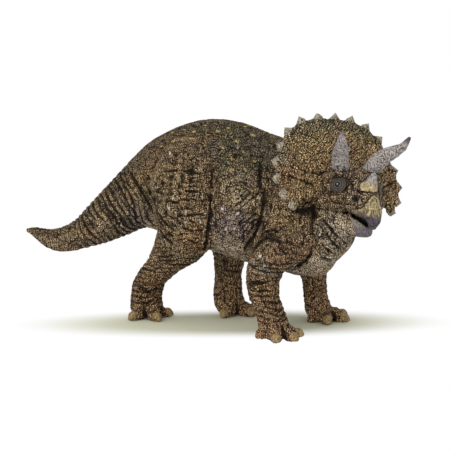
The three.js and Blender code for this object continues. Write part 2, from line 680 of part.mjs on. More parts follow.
// The neck shield, from one lower corner over the top to the other.
function frillBody(grow) {
  const [back, sideways, down] = FRILL_ROOT_SHARES;
  const hub = new THREE.Vector3(-back * SKULL_BACK, 0, -down * FACE_DEPTH);
  const sections = Array.from({ length: FRILL_RINGS + 1 }, (_, i) => {
    const turn = 1 - (2 * i) / FRILL_RINGS;
    const rim = rimPoint(turn);
    const out = rim.clone().sub(hub).setX(0).normalize();
    const root = hub.clone().addScaledVector(out, (sideways * SKULL_WIDTH) / 2 - grow);
    rim.addScaledVector(out, grow);
    const face = (share, side) => {
      const half = THREE.MathUtils.lerp(FRILL_ROOT, FRILL_EDGE, Math.sqrt(share)) / 2 + grow;
      const swell = FRILL_SWELL_SHARE * FRILL_WIDTH * Math.sin(Math.PI * share);
      return root.clone().lerp(rim, share).addScaledVector(FORWARD, swell + side * half);
    };
    const front = FRILL_PROFILE_SHARES.map((share) => face(share, 1));
    return [...front, ...FRILL_PROFILE_SHARES.map((share) => face(share, -1)).reverse()];
  });
  return solidOf(new LoftGeometry(sections, { capStart: true, capEnd: true }));
}

// One pointed stud of the row round the rim.
function studBody(index) {
  const turn = 1 - (2 * index) / (STUD_COUNT - 1);
  const rim = rimPoint(turn);
  const out = rim.clone().setX(0).setZ(rim.z + FRILL_ROOT_SHARES[2] * FACE_DEPTH).normalize();
  const shape = new THREE.ConeGeometry(STUD_WIDTH / 2, STUD_HEIGHT, STUD_SIDES);
  shape.scale(1, 1, STUD_FLAT_SHARE);
  shape.applyQuaternion(new THREE.Quaternion().setFromUnitVectors(LEFTWARD, out));
  shape.translate(...rim.addScaledVector(out, STUD_OUT_SHARE * STUD_HEIGHT));
  return solidOf(shape);
}

// Brow horn rows run out from the root: forward, sideways, up, thickness.
const HORN_SHARES = [
  [-0.03, -0.03, -0.08, 0.47],
  [0.06, 0.10, 0.10, 0.50],
  [0.19, 0.25, 0.27, 0.49],
  [0.41, 0.46, 0.45, 0.43],
  [0.63, 0.66, 0.57, 0.35],
  [0.83, 0.86, 0.71, 0.25],
  [0.98, 0.98, 0.95, 0.11],
];
const HORN_DOME_SHARE = 0.1; // of the horn's thickness

// A brow horn with a square peg down into the skull.
function browHornBody(side, grow = 0) {
  const stations = HORN_SHARES.map(([forward, sideways, up, half]) => [
    forward * HORN_REACH,
    side * (HORN_SPREAD / 2 + sideways * HORN_SPLAY),
    up * HORN_RISE,
    half * HORN_THICKNESS,
    half * HORN_THICKNESS,
  ]);
  const dome = HORN_DOME_SHARE * HORN_THICKNESS;
  const horn = bodyThrough(stations, { sides: HORN_SIDES, domes: [dome, dome], grow });
  const [x, y, z] = stations[0];
  const half = HORN_PEG_WIDTH / 2 + grow;
  const peg = block([x - half, y - half, z], [x + half, y + half, z - dome - HORN_PEG_LENGTH - grow]);
  return horn.add(peg);
}

// Brow rings and eyes: along and down as shares of the face.
const BROW_SHARES = [0.02, 0.14];
const EYE_SHARES = [0.14, 0.34];
const BROW_FLAT_SHARE = 0.8;

function browAndEye(side) {
  const half = BROW_SIZE / 2;
  const brow = lump(
    [BROW_SHARES[0] * FACE_LENGTH, (side * HORN_SPREAD) / 2, -BROW_SHARES[1] * FACE_DEPTH],
    [half, half, half * BROW_FLAT_SHARE],
  );
  const eye = lump(
    [EYE_SHARES[0] * FACE_LENGTH, (side * (EYE_SPREAD - EYE_DIAMETER)) / 2, -EYE_SHARES[1] * FACE_DEPTH],
    [EYE_DIAMETER / 2, EYE_DIAMETER / 2, EYE_DIAMETER / 2],
  );
  return brow.add(eye);
}

// The head's square peg, back through the nape into the trunk.
function neckPeg(grow) {
  const half = PEG_WIDTH / 2 + grow;
  const middle = -FRILL_ROOT_SHARES[2] * FACE_DEPTH;
  return block([0, -half, middle - half], [-SKULL_BACK - NECK_PEG_LENGTH - grow, half, middle + half]);
}

// What the head keeps clear of the neighbours, without the parts that stand free of them.
function headCore(grow) {
  return [cheekBody(RIGHT, grow), cheekBody(LEFT, grow), frillBody(grow), neckPeg(grow)]
    .reduce((sum, solid) => sum.add(solid), skullBody(grow));
}

function headBody() {
  const studs = Array.from({ length: STUD_COUNT }, (_, i) => studBody(i));
  const grown = [beakBody(), noseHornBody(), browAndEye(RIGHT), browAndEye(LEFT), ...studs]
    .reduce((sum, solid) => sum.add(solid), headCore(0));
  return [jawPeg(SEAM_GAP), browHornBody(RIGHT, SEAM_GAP), browHornBody(LEFT, SEAM_GAP)]
    .reduce((rest, cutter) => rest.subtract(cutter), grown);
}

// A solid of the head's frame, set in its place on the figure.
function onHead(solid) {
  const turned = new THREE.Matrix4().makeRotationZ(-THREE.MathUtils.degToRad(HEAD_YAW_DEGREES))
    .multiply(new THREE.Matrix4().makeRotationX(-THREE.MathUtils.degToRad(HEAD_ROLL_DEGREES)))
    .setPosition(TRUNK_LENGTH + HEAD_REACH, -HEAD_SIDE, HEAD_HEIGHT);
  return solid.transform(turned.elements);
}

const headSocket = onHead(headCore(SEAM_GAP));
const tail = spineBody().trimByPlane([-1, 0, 0], SEAM_GAP / 2).add(tailPeg(0));
const legs = LEGS.map((leg) => meshOf(leg.name, legBody(leg).subtract(headSocket), SKIN));
const trunkFolds = TRUNK_FOLD_SHARES.map((route) => route.map(([along, height]) => [
  along * TRUNK_LENGTH,
  heightAt(height),
]));
const trunk = [tailPeg(SEAM_GAP), headSocket, ...LEGS.map((leg) => legBody(leg, SEAM_GAP))]
  .reduce(
    (rest, cutter) => rest.subtract(cutter),
    folded(torsoBody(), torsoBody(-FOLD_DEPTH), trunkFolds).trimByPlane([1, 0, 0], SEAM_GAP / 2),
  );

const figure = new THREE.Group();
figure.add(
  meshOf('trunk', trunk, SKIN),
  meshOf('tail', tail, SKIN),
  meshOf('head', onHead(headBody()), SKIN),
  meshOf('lower_jaw', onHead(jawBody()), BEAK),
  meshOf('brow_horn_right', onHead(browHornBody(RIGHT)), HORN),
  meshOf('brow_horn_left', onHead(browHornBody(LEFT)), HORN),
  ...legs,
);

// The figure stands on the floor with the middle of its outline over the origin.
const box = new THREE.Box3().setFromObject(figure);
const middle = box.getCenter(new THREE.Vector3());
figure.position.set(-middle.x, -middle.y, -box.min.z);

export default figure;
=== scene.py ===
"""Looks of a moulded vinyl figure of a horned dinosaur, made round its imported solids.

Blender's meshes are in metres, in the solids' own frame. Sizes that are read off the figure are written
in millimetres, and MM turns them to metres. Folds and paint that the photograph shows on the figure's
right side are placed by where they stand in it, in pixels, and lie on the skin there. They are repeated
on the left side, mirrored.
"""

import logging
import math
from collections.abc import Callable
from dataclasses import dataclass, field
from enum import Enum
from functools import partial
from typing import Any

import bmesh
import bpy
import numpy as np
from mathutils import Matrix, Vector
from mathutils.bvhtree import BVHTree

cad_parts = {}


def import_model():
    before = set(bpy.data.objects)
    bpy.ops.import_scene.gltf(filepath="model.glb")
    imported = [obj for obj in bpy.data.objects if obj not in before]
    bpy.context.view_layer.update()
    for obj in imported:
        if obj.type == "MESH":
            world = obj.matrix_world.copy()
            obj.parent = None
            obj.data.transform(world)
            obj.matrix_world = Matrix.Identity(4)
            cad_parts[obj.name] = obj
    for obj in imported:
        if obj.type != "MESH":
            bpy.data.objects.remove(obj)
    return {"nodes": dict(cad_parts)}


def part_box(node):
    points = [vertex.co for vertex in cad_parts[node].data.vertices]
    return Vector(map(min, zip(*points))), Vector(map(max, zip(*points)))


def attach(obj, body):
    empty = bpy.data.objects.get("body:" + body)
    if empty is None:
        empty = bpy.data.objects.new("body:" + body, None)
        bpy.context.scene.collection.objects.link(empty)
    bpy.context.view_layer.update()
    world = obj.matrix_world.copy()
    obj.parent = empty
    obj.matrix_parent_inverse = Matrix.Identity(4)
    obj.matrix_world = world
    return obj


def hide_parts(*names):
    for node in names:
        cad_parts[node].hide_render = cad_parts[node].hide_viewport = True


Array = np.ndarray
Pair = tuple[float, float]
Triple = tuple[float, float, float]
Colour = tuple[float, float, float, float]
Object = bpy.types.Object
Mesh = bpy.types.Mesh
Material = bpy.types.Material
Tree = bpy.types.NodeTree
Socket = bpy.types.NodeSocket
Mirror = Callable[[Array, Array, bool], tuple[Array, Array, Array]]

LOG = logging.getLogger("figure")
MM = 0.001
BODY = "root"
MIDDLE = 3.44
WHITE = (1.0, 1.0, 1.0, 1.0)
LEGS = ("hind_leg_right", "hind_leg_left", "foreleg_right", "foreleg_left")
HIDE_PARTS = ("trunk", "tail", "head", "lower_jaw", *LEGS)
BROW_HORNS = ("brow_horn_right", "brow_horn_left")
SOLIDS = (*HIDE_PARTS, *BROW_HORNS)


class Tone(Enum):
    """The paints that lie over the base coat, each a share from 0 to 1 on every point of the skin. The dark
    one holds dark paint and painted shade; the painted glint one holds painted highlights.
    """

    OCHRE = "ochre"
    GREEN = "green"
    VIOLET = "violet"
    PALE = "pale"
    RUST = "rust"
    DARK = "dark"
    # Painted highlights: white specks standing for glints.
    CHALK = "chalk"
    HORNY = "horny"
    TIP = "tip"


def linear(code: str) -> Colour:
    """Turns an sRGB hex colour to linear RGBA.

    Args:
        code: the colour, such as "#5c4b33".

    Returns:
        Red, green and blue from 0 to 1 in linear light, and an alpha of 1.
    """
    shares = [int(code[i : i + 2], 16) / 255 for i in (1, 3, 5)]
    red, green, blue = (s / 12.92 if s <= 0.04045 else ((s + 0.055) / 1.055) ** 2.4 for s in shares)
    return red, green, blue, 1.0


def add(
    tree: Tree,
    kind: str,
    links: dict[Any, Any] | None = None,
    output: Any = 0,
    **settings: Any,
) -> Socket:
    """Adds a node with its settings and links.

    Args:
        tree: the node tree that gets it.
        kind: the node's type.
        links: for each input, by name or number, the socket linked to it or its value.
        output: the output to return, by name or number.
        settings: the node's own settings.

    Returns:
        The chosen output socket.
    """
    node = tree.nodes.new(kind)
    for name, value in settings.items():
        setattr(node, name, value)
    for name, value in (links or {}).items():
        if isinstance(value, Socket):
            tree.links.new(value, node.inputs[name])
        else:
            node.inputs[name].default_value = value
    return node.outputs[output]


def smoothstep(low: float, high: float, values: Array) -> Array:
    """Rises smoothly from 0 at low to 1 at high."""
    share = np.clip((values - low) / (high - low), 0.0, 1.0)
    return share * share * (3.0 - 2.0 * share)


def unit(vectors: Array) -> Array:
    """Gives vectors a length of 1; they stand one a row, or there is just one."""
    return vectors / np.maximum(np.linalg.norm(vectors, axis=-1, keepdims=True), 1e-12)


# These mix a lattice point's whole numbers to a value without a pattern.
HASH_PRIMES = np.array((73856093, 19349663, 83492791))
HASH_SEED = 2654435761
HASH_MIX = 1274126177


def lattice_noise(points: Array, size: float, seed: int) -> Array:
    """Smooth noise from -1 to 1, the same on every run.

    Args:
        points: positions in millimetres, one a row.
        size: distance between the noise's lattice points.
        seed: picks one of many such fields.

    Returns:
        One value for each point.
    """
    place = points / size
    corner = np.floor(place).astype(np.int64)
    part = place - corner
    part = part * part * (3.0 - 2.0 * part)
    total = np.zeros(len(points))
    for offset in np.ndindex(2, 2, 2):
        cell = corner + np.array(offset)
        first, second, third = (cell * HASH_PRIMES).T
        code = first ^ second ^ third ^ (seed * HASH_SEED)
        code = (code ^ (code >> 13)) * HASH_MIX & 0x7FFFFFFF
        value = ((code ^ (code >> 16)) & 0xFFFF) / 32767.5 - 1.0
        weight = np.prod(np.where(np.array(offset) == 1, part, 1.0 - part), axis=1)
        total += value * weight
    return total


@dataclass(frozen=True)
class PhotoView:
    """The photograph's camera, as found from the figure's outline, in millimetres and pixels."""

    azimuth: float = 26.0
    elevation: float = 10.0
    distance: float = 800.0
    scale: float = 1.96
    target: Triple = (16.05, 8.44, 50.0)
    centre: Pair = (247.0, 224.0)
    frame: float = 450.0
    sensor: float = 36.0

    def axes(self) -> tuple[Array, Array, Array]:
        """Gives the camera's right, up and backward directions."""
        turn, rise = math.radians(self.azimuth), math.radians(self.elevation)
        right = np.array([math.cos(turn), math.sin(turn), 0.0])
        level = math.cos(rise)
        back = np.array([math.sin(turn) * level, -math.cos(turn) * level, math.sin(rise)])
        return right, np.cross(back, right), back

    def project(self, points: Array) -> Array:
        """Finds where points stand in the photograph.

        Args:
            points: positions in millimetres, one a row.

        Returns:
            Their pixels, across and down.
        """
        right, up, back = self.axes()
        offset = points - np.array(self.target)
        zoom = self.scale * self.distance / (self.distance - offset @ back)
        across, down = zoom * (offset @ right), -zoom * (offset @ up)
        return np.stack([self.centre[0] + across, self.centre[1] + down], axis=1)

    def on_floor(self, pixel: Pair) -> Array:
        """Finds the point of the floor that a pixel of the photograph shows, in millimetres."""
        right, up, back = self.axes()
        eye = np.array(self.target) + back * self.distance
        across, down = (np.array(pixel) - np.array(self.centre)) / self.scale
        way = across * right - down * up - back * self.distance
        return eye - way * eye[2] / way[2]

    def build(self) -> None:
        """Sets Blender's camera where the photograph's stood."""
        right, up, back = self.axes()
        data = bpy.data.cameras.new("photo_camera")
        data.sensor_width = self.sensor
        data.lens = self.scale * self.distance * self.sensor / self.frame
        data.shift_x = -(self.centre[0] - self.frame / 2) / self.frame
        data.shift_y = (self.centre[1] - self.frame / 2) / self.frame
        data.clip_start, data.clip_end = 0.01, 20.0
        camera = bpy.data.objects.new("photo_camera", data)
        place = (np.array(self.target) + back * self.distance) * MM
        turn = Matrix((right, up, back)).transposed().to_4x4()
        camera.matrix_world = Matrix.Translation(Vector(place)) @ turn
        bpy.context.scene.collection.objects.link(camera)
        bpy.context.scene.camera = camera


@dataclass(frozen=True)
class HeadFrame:
    """The head's frame, from the skull roof between the brow horns: X to the beak, Y to its left, Z up."""

    place: Triple = (82.35, -8.56, 85.0)
    yaw: float = -32.0
    roll: float = -8.0

    def turn(self) -> Array:
        """Gives the head's axes as the columns of a matrix."""
        turned = Matrix.Rotation(math.radians(self.yaw), 3, "Z")
        return np.array(turned @ Matrix.Rotation(math.radians(self.roll), 3, "X"))

    def inside(self, points: Array) -> Array:
        """Turns points of the figure's frame to the head's."""
        return (points - np.array(self.place)) @ self.turn()

    def outside(self, points: Array) -> Array:
        """Turns points of the head's frame to the figure's."""
        return points @ self.turn().T + np.array(self.place)


VIEW = PhotoView()
HEAD = HeadFrame()


def route_distance(points: Array, route: Array) -> tuple[Array, Array]:
    """Measures points against a route of straight stretches.

    Args:
        points: positions in two or three dimensions, one a row.
        route: the route's corners, one a row.

    Returns:
        Each point's distance from the route, and how far along it the nearest place lies.
    """
    best = np.full(len(points), np.inf)
    along = np.zeros(len(points))
    travelled = 0.0
    for start, end in zip(route[:-1], route[1:]):
        stretch = end - start
        length = float(np.linalg.norm(stretch))
        share = np.clip((points - start) @ stretch / length**2, 0.0, 1.0)
        gap = np.linalg.norm(points - start - share[:, None] * stretch, axis=1)
        nearer = gap < best
        best = np.where(nearer, gap, best)
        along = np.where(nearer, travelled + share * length, along)
        travelled += length
    return best, along


@dataclass
class Shell:
    """A closed skin of four-sided faces, with its paint. Points are in millimetres."""

    points: Array
    faces: Array
    paint: dict[Tone, Array] = field(default_factory=dict)

    def __post_init__(self) -> None:
        """Works out the edges once, since they stay the same while points move."""
        count = len(self.points)
        pairs = np.concatenate([self.faces[:, [i, (i + 1) % 4]] for i in range(4)])
        pairs = np.sort(pairs, axis=1).astype(np.int64)
        codes = np.unique(pairs[:, 0] * count + pairs[:, 1])
        self.edges = np.stack([codes // count, codes % count], axis=1)
        ends = self.edges.ravel()
        self.degree = np.maximum(np.bincount(ends, minlength=count), 1)
        for tone in Tone:
            self.paint.setdefault(tone, np.zeros(count))

    def normals(self) -> Array:
        """Gives each point's outward direction."""
        corners = self.points[self.faces]
        across = np.cross(corners[:, 2] - corners[:, 0], corners[:, 3] - corners[:, 1])
        total = np.zeros_like(self.points)
        for axis in range(3):
            for corner in range(4):
                total[:, axis] += np.bincount(self.faces[:, corner], across[:, axis], len(self.points))
        return unit(total)

    def mean_of_neighbours(self, values: Array) -> Array:
        """Averages a value over each point's neighbours."""
        first, second = self.edges.T
        count = len(self.points)
        if values.ndim == 1:
            total = np.bincount(first, values[second], count) + np.bincount(second, values[first], count)
            return total / self.degree
        return np.stack([self.mean_of_neighbours(values[:, i]) for i in range(values.shape[1])], axis=1)

    def blurred(self, values: Array, rounds: int) -> Array:
        """Spreads a value over the skin."""
        for _ in range(rounds):
            values = 0.5 * values + 0.5 * self.mean_of_neighbours(values)
        return values

    def smooth(self, rounds: int, weight: Array, keep: float = 0.52) -> None:
        """Melts facets away without shrinking the form much.

        Args:
            rounds: pairs of a smoothing and a swelling step.
            weight: share of each step that a point takes.
            keep: size of the swelling step, which undoes most of the shrinkage.
        """
        for _ in range(rounds):
            for step in (0.5, -keep):
                self.points += step * weight[:, None] * (self.mean_of_neighbours(self.points) - self.points)

    def push(self, heights: Array) -> None:
        """Moves the skin outwards by a height in millimetres for each point."""
        self.points += self.normals() * heights[:, None]

    def cover(self, tone: Tone, share: Array) -> None:
        """Lays paint where there is less of it than the share."""
        self.paint[tone] = np.maximum(self.paint[tone], share)

    def largest_body(self) -> "Shell":
        """Drops all but the outer skin, such as the walls of hidden sockets."""
        count = len(self.points)
        labels = np.arange(count)
        first, second = self.edges.T
        while True:
            lower = np.minimum(labels[first], labels[second])
            merged = labels.copy()
            np.minimum.at(merged, first, lower)
            np.minimum.at(merged, second, lower)
            merged = merged[merged]
            if np.array_equal(merged, labels):
                break
            labels = merged
        wanted = labels == np.bincount(labels).argmax()
        index = np.cumsum(wanted) - 1
        return Shell(self.points[wanted], index[self.faces[wanted[self.faces[:, 0]]]])

    def hollows(self, rounds: int) -> Array:
        """Measures how far each point lies below the blurred skin, in millimetres; bumps are negative."""
        return np.einsum("ij,ij->i", self.blurred(self.points, rounds) - self.points, self.normals())


def merged_copy(node: Object) -> tuple[Array, Array]:
    """Copies a solid's mesh with its doubled points merged.

    Args:
        node: the solid.

    Returns:
        Its points in millimetres and its triangles.
    """
    work = bmesh.new()
    work.from_mesh(node.data)
    bmesh.ops.remove_doubles(work, verts=work.verts, dist=1e-6)
    bmesh.ops.triangulate(work, faces=work.faces)
    points = np.array([v.co for v in work.verts], float) / MM
    triangles = np.array([[v.index for v in f.verts] for f in work.faces], np.int64)
    work.free()
    return points, triangles


def swollen(points: Array, triangles: Array, amount: float) -> Array:
    """Moves a solid's points outwards, so that glued neighbours meet.

    Args:
        points: the solid's points in millimetres.
        triangles: its faces.
        amount: how far they move.

    Returns:
        The moved points.
    """
    corners = points[triangles]
    across = unit(np.cross(corners[:, 1] - corners[:, 0], corners[:, 2] - corners[:, 0]))
    total = np.zeros_like(points)
    for corner in range(3):
        np.add.at(total, triangles[:, corner], across)
    return points + amount * unit(total)


def coordinates(data: Mesh) -> Array:
    """Reads a mesh's points, in millimetres."""
    points = np.empty(len(data.vertices) * 3)
    data.vertices.foreach_get("co", points)
    return points.reshape(-1, 3) / MM


def read_shell(data: Mesh) -> Shell:
    """Reads a mesh of four-sided faces, with its paint."""
    corners = np.empty(len(data.loops), np.int64)
    data.loops.foreach_get("vertex_index", corners)
    shell = Shell(coordinates(data), corners.reshape(-1, 4))
    for tone in Tone:
        layer = data.attributes.get(tone.value)
        if layer is not None:
            layer.data.foreach_get("value", shell.paint[tone])
    return shell


def mesh_from(name: str, points: Array, faces: Array | list[list[int]], paint: dict[Tone, Array]) -> Mesh:
    """Makes a mesh in metres.

    Args:
        name: the mesh's name.
        points: positions in millimetres.
        faces: the corners of each face.
        paint: shares of paint for each point.

    Returns:
        The mesh, shaded smooth.
    """
    data = bpy.data.meshes.new(name)
    data.from_pydata((points * MM).tolist(), [], faces.tolist() if isinstance(faces, Array) else faces)
    for tone, values in paint.items():
        layer = data.attributes.new(tone.value, "FLOAT", "POINT")
        layer.data.foreach_set("value", values.astype(np.float32))
    data.shade_smooth()
    data.update()
    return data


def object_from(data: Mesh) -> Object:
    """Puts a mesh in the scene as an object of the same name, at the origin."""
    made = bpy.data.objects.new(data.name, data)
    bpy.context.scene.collection.objects.link(made)
    return made


def evaluated_mesh(made: Object) -> Mesh:
    """Applies an object's modifiers, and gives the plain mesh that results."""
    graph = bpy.context.evaluated_depsgraph_get()
    graph.update()
    final = made.evaluated_get(graph)
    return bpy.data.meshes.new_from_object(final, preserve_all_data_layers=True, depsgraph=graph)


def drop(made: Object) -> None:
    """Removes a helper object and its mesh."""
    data = made.data
    bpy.data.objects.remove(made)
    bpy.data.meshes.remove(data)


def baked(made: Object) -> Shell:
    """Applies an object's modifiers, reads the skin that results, and removes the object."""
    data = evaluated_mesh(made)
    drop(made)
    shell = read_shell(data)
    bpy.data.meshes.remove(data)
    return shell


def tucked(name: str, points: Array, amount: float = 2.6, reach: float = 8.0) -> Array:
    """Draws the lower jaw's tip back under the upper beak's hook.

    Args:
        name: the solid's name; any but the lower jaw stays as it is.
        points: its points in millimetres.
        amount: how far the tip moves.
        reach: how far behind the tip the move starts.

    Returns:
        The moved points.
    """
    if name != "lower_jaw":
        return points
    inside = HEAD.inside(points)
    tip = inside[:, 0].max()
    inside[:, 0] -= amount * smoothstep(tip - reach, tip, inside[:, 0])
    return HEAD.outside(inside)


def union_of(nodes: list[Object], swell: float, voxel: float) -> Shell:
    """Joins solids to one skin that closes over their glued seams.

    Args:
        nodes: the solids.
        swell: how far each grows first, in millimetres, so that they overlap.
        voxel: the skin's face size in millimetres.

    Returns:
        The skin.
    """
    points, faces, count = [], [], 0
    for node in nodes:
        own, triangles = merged_copy(node)
        points.append(swollen(tucked(node.name, own), triangles, swell))
        faces.append(triangles + count)
        count += len(own)
    work = object_from(mesh_from("union", np.concatenate(points), np.concatenate(faces), {}))
    remesh = work.modifiers.new("union", "REMESH")
    remesh.mode = "VOXEL"
    remesh.voxel_size = voxel * MM
    remesh.adaptivity = 0.0
    return baked(work).largest_body()


# The drift's waves to a millimetre, the cells' squeeze along each axis, and how irregular they are.
WANDER_SCALE = 0.16
CELL_STRETCH = (0.75, 0.75, 1.15)
CELL_DISORDER = 0.55


def cell_edge(
    tree: Tree,
    place: Socket,
    inverse: Any,
    drift: float,
    feature: str = "DISTANCE_TO_EDGE",
    output: str = "Distance",
) -> Socket:
    """Adds the cells of a pebbled hide: each cell is one scale.

    The relief of the mesh and the paint of the material both use it, so that cracks and colour agree.

    Args:
        tree: the node tree.
        place: position on the figure in millimetres.
        inverse: how many scales there are to a millimetre, as a socket or a number.
        drift: how far the cells wander from a regular layout, in millimetres.
        feature: what to measure, as the texture names it.
        output: the texture's output to return.

    Returns:
        The measure.
    """
    node = partial(add, tree)
    wander = node("ShaderNodeTexNoise", {"Vector": place, "Scale": WANDER_SCALE, "Detail": 1.0}, "Color")
    steps = {0: wander, 1: (2 * drift,) * 3, 2: place}
    moved = node("ShaderNodeVectorMath", steps, operation="MULTIPLY_ADD")
    scaled = node("ShaderNodeVectorMath", {0: moved, "Scale": inverse}, operation="SCALE")
    scaled = node("ShaderNodeVectorMath", {0: scaled, 1: CELL_STRETCH}, operation="MULTIPLY")
    cells = {"Vector": scaled, "Scale": 1.0, "Randomness": CELL_DISORDER}
    return node("ShaderNodeTexVoronoi", cells, output, voronoi_dimensions="3D", feature=feature)


def geometry_tree(name: str, *inputs: str) -> tuple[Tree, Any]:
    """Makes a geometry tree that takes a geometry and some numbers, and gives a geometry.

    Args:
        name: the tree's name.
        inputs: the names of its numbers.

    Returns:
        The tree, and the sockets of its inputs.
    """
    tree = bpy.data.node_groups.new(name, "GeometryNodeTree")
    tree.interface.new_socket("Geometry", in_out="INPUT", socket_type="NodeSocketGeometry")
    for label in inputs:
        tree.interface.new_socket(label, in_out="INPUT", socket_type="NodeSocketFloat")
    tree.interface.new_socket("Geometry", in_out="OUTPUT", socket_type="NodeSocketGeometry")
    return tree, tree.nodes.new("NodeGroupInput").outputs


@dataclass(frozen=True)
class Relief:
    """The cast relief of the hide: pebbled scales, and a net of wrinkles. Sizes in millimetres; the edges
    are shares of a cell, and on_horn is the share of the relief that horn and beak keep."""

    scale: float = 0.74
    scale_depth: float = 0.13
    scale_edge: float = 0.2
    wrinkle: float = 5.0
    wrinkle_depth: float = 0.3
    wrinkle_edge: float = 0.07
    drift: float = 2.3
    on_horn: float = 0.12

    def tree(self) -> Tree:
        """Builds the node tree that presses the relief into a skin."""
        tree, source = geometry_tree(
            "hide_relief", "Scale size", "Scale depth", "Wrinkle size", "Wrinkle depth"
        )
        node = partial(add, tree)
        here = node("GeometryNodeInputPosition")
        place = node("ShaderNodeVectorMath", {0: here, "Scale": 1 / MM}, operation="SCALE")
        heights = []
        for kind, edge in (("Scale", self.scale_edge), ("Wrinkle", self.wrinkle_edge)):
            inverse = node("ShaderNodeMath", {0: 1.0, 1: source[kind + " size"]}, operation="DIVIDE")
            gap = cell_edge(tree, place, inverse, self.drift)
            slope = {"Value": gap, "From Min": 0.0, "From Max": edge, "To Min": -1.0, "To Max": 0.0}
            share = node("ShaderNodeMapRange", slope, interpolation_type="SMOOTHSTEP")
            steps = {0: share, 1: source[kind + " depth"]}
            heights.append(node("ShaderNodeMath", steps, operation="MULTIPLY"))
        height = node("ShaderNodeMath", {0: heights[0], 1: heights[1]}, operation="ADD")
        horny = node("GeometryNodeInputNamedAttribute", {"Name": Tone.HORNY.value}, data_type="FLOAT")
        kept = {"Value": horny, "From Min": 0.4, "From Max": 0.6, "To Min": 1.0, "To Max": self.on_horn}
        for factor in (node("ShaderNodeMapRange", kept), MM):
            height = node("ShaderNodeMath", {0: height, 1: factor}, operation="MULTIPLY")
        steps = {0: node("GeometryNodeInputNormal"), "Scale": height}
        offset = node("ShaderNodeVectorMath", steps, operation="SCALE")
        add_output(tree, node("GeometryNodeSetPosition", {"Geometry": source["Geometry"], "Offset": offset}))
        return tree

    def press(self, shell: Shell) -> Shell:
        """Presses the relief into a skin, and returns the new skin with the same paint."""
        work = object_from(mesh_from("relief", shell.points, shell.faces, shell.paint))
        sizes = (self.scale, self.scale_depth, self.wrinkle, self.wrinkle_depth)
        run_tree(work, self.tree(), sizes)
        return baked(work)


def add_output(tree: Tree, geometry: Socket) -> None:
    """Ends a geometry tree with its output."""
    tree.links.new(geometry, tree.nodes.new("NodeGroupOutput").inputs[0])


def run_tree(made: Object, tree: Tree, values: tuple[Any, ...]) -> None:
    """Gives an object a geometry tree, and sets its inputs after the first by their identifiers."""
    modifier = made.modifiers.new(tree.name, "NODES")
    modifier.node_group = tree
    inputs = [item for item in tree.interface.items_tree if item.in_out == "INPUT"][1:]
    for item, value in zip(inputs, values):
        modifier[item.identifier] = value


# How many pixels round its route a fold reaches, and the share of its length over which it runs out.
FOLD_MARGIN = 8.0
FOLD_END = 0.18


@dataclass(frozen=True)
class Fold:
    """A crease with swollen lips, along a route of the photograph's pixels. Sizes in millimetres."""

    route: tuple[Pair, ...]
    width: float = 0.5
    depth: float = 0.5
    lip: float = 0.35

    def height(self, points: Array, pixels: Array) -> Array:
        """Gives the crease's height at each point, where negative is below the skin.

        Args:
            points: positions in millimetres.
            pixels: where they stand in the photograph.

        Returns:
            One height for each point.
        """
        route = np.array(self.route, float)
        near = np.all((pixels > route.min(0) - FOLD_MARGIN) & (pixels < route.max(0) + FOLD_MARGIN), axis=1)
        heights = np.zeros(len(points))
        if not near.any():
            return heights
        gap, along = route_distance(pixels[near] / VIEW.scale, route / VIEW.scale)
        length = np.linalg.norm(np.diff(route, axis=0), axis=1).sum() / VIEW.scale
        gap = gap + 0.6 * lattice_noise(points[near], 3.6, 11) + 0.25 * lattice_noise(points[near], 1.5, 12)
        gap = np.abs(gap)
        fade = smoothstep(0.0, FOLD_END, along / length) * smoothstep(0.0, FOLD_END, 1.0 - along / length)
        groove = np.exp(-((gap / self.width) ** 2))
        lips = np.exp(-(((gap - 2.0 * self.width) / self.width) ** 2))
        heights[near] = self.depth * fade * (self.lip * lips - groove)
        return heights


@dataclass(frozen=True)
class Wrinkles:
    """A field of fine wrinkles that bend round a pole. Pixels of the photograph; spacing and depth in
    millimetres."""

    centre: Pair
    radii: Pair
    pole: Pair
    spacing: float
    depth: float

    def height(self, points: Array, pixels: Array) -> Array:
        """Gives the wrinkles' height at each point, where negative is below the skin.

        Args:
            points: positions in millimetres.
            pixels: where they stand in the photograph.

        Returns:
            One height for each point.
        """
        out = np.linalg.norm((pixels - np.array(self.centre)) / np.array(self.radii), axis=1)
        near = out < 1.1
        heights = np.zeros(len(points))
        if near.any():
            travel = np.linalg.norm(pixels[near] - np.array(self.pole), axis=1) / VIEW.scale
            lines = creases_along(travel, points[near], self.spacing, int(self.centre[0]))
            heights[near] = self.depth * (1.0 - smoothstep(0.6, 1.1, out[near])) * lines
        return heights


@dataclass(frozen=True)
class Patch:
    """An oval of paint, in the photograph's pixels."""

    tone: Tone
    centre: Pair
    radii: Pair
    share: float = 1.0

    def amount(self, pixels: Array, ragged: Array) -> Array:
        """Gives the paint's share at each pixel place.

        Args:
            pixels: where points stand in the photograph.
            ragged: how far each is off at the patch's edge, in shares of the patch's size.

        Returns:
            One share for each point, fading out at the edge.
        """
        place = pixels - np.array(self.centre) + ragged * min(self.radii)
        out = np.linalg.norm(place / np.array(self.radii), axis=1)
        return self.share * (1.0 - smoothstep(0.45, 1.1, out))


def patches_of(table: dict[Tone, tuple[tuple[float, ...], ...]]) -> tuple[Patch, ...]:
    """Turns each tone's rows of centre, radii and share to patches."""
    return tuple(
        Patch(tone, (across, down), (wide, high), *share)
        for tone, rows in table.items()
        for across, down, wide, high, *share in rows
    )


JAW_FOLD = Fold(((285, 203), (293, 208.5), (302, 211), (310, 208.5), (318, 205)), 1.1, 0.9, 0.2)

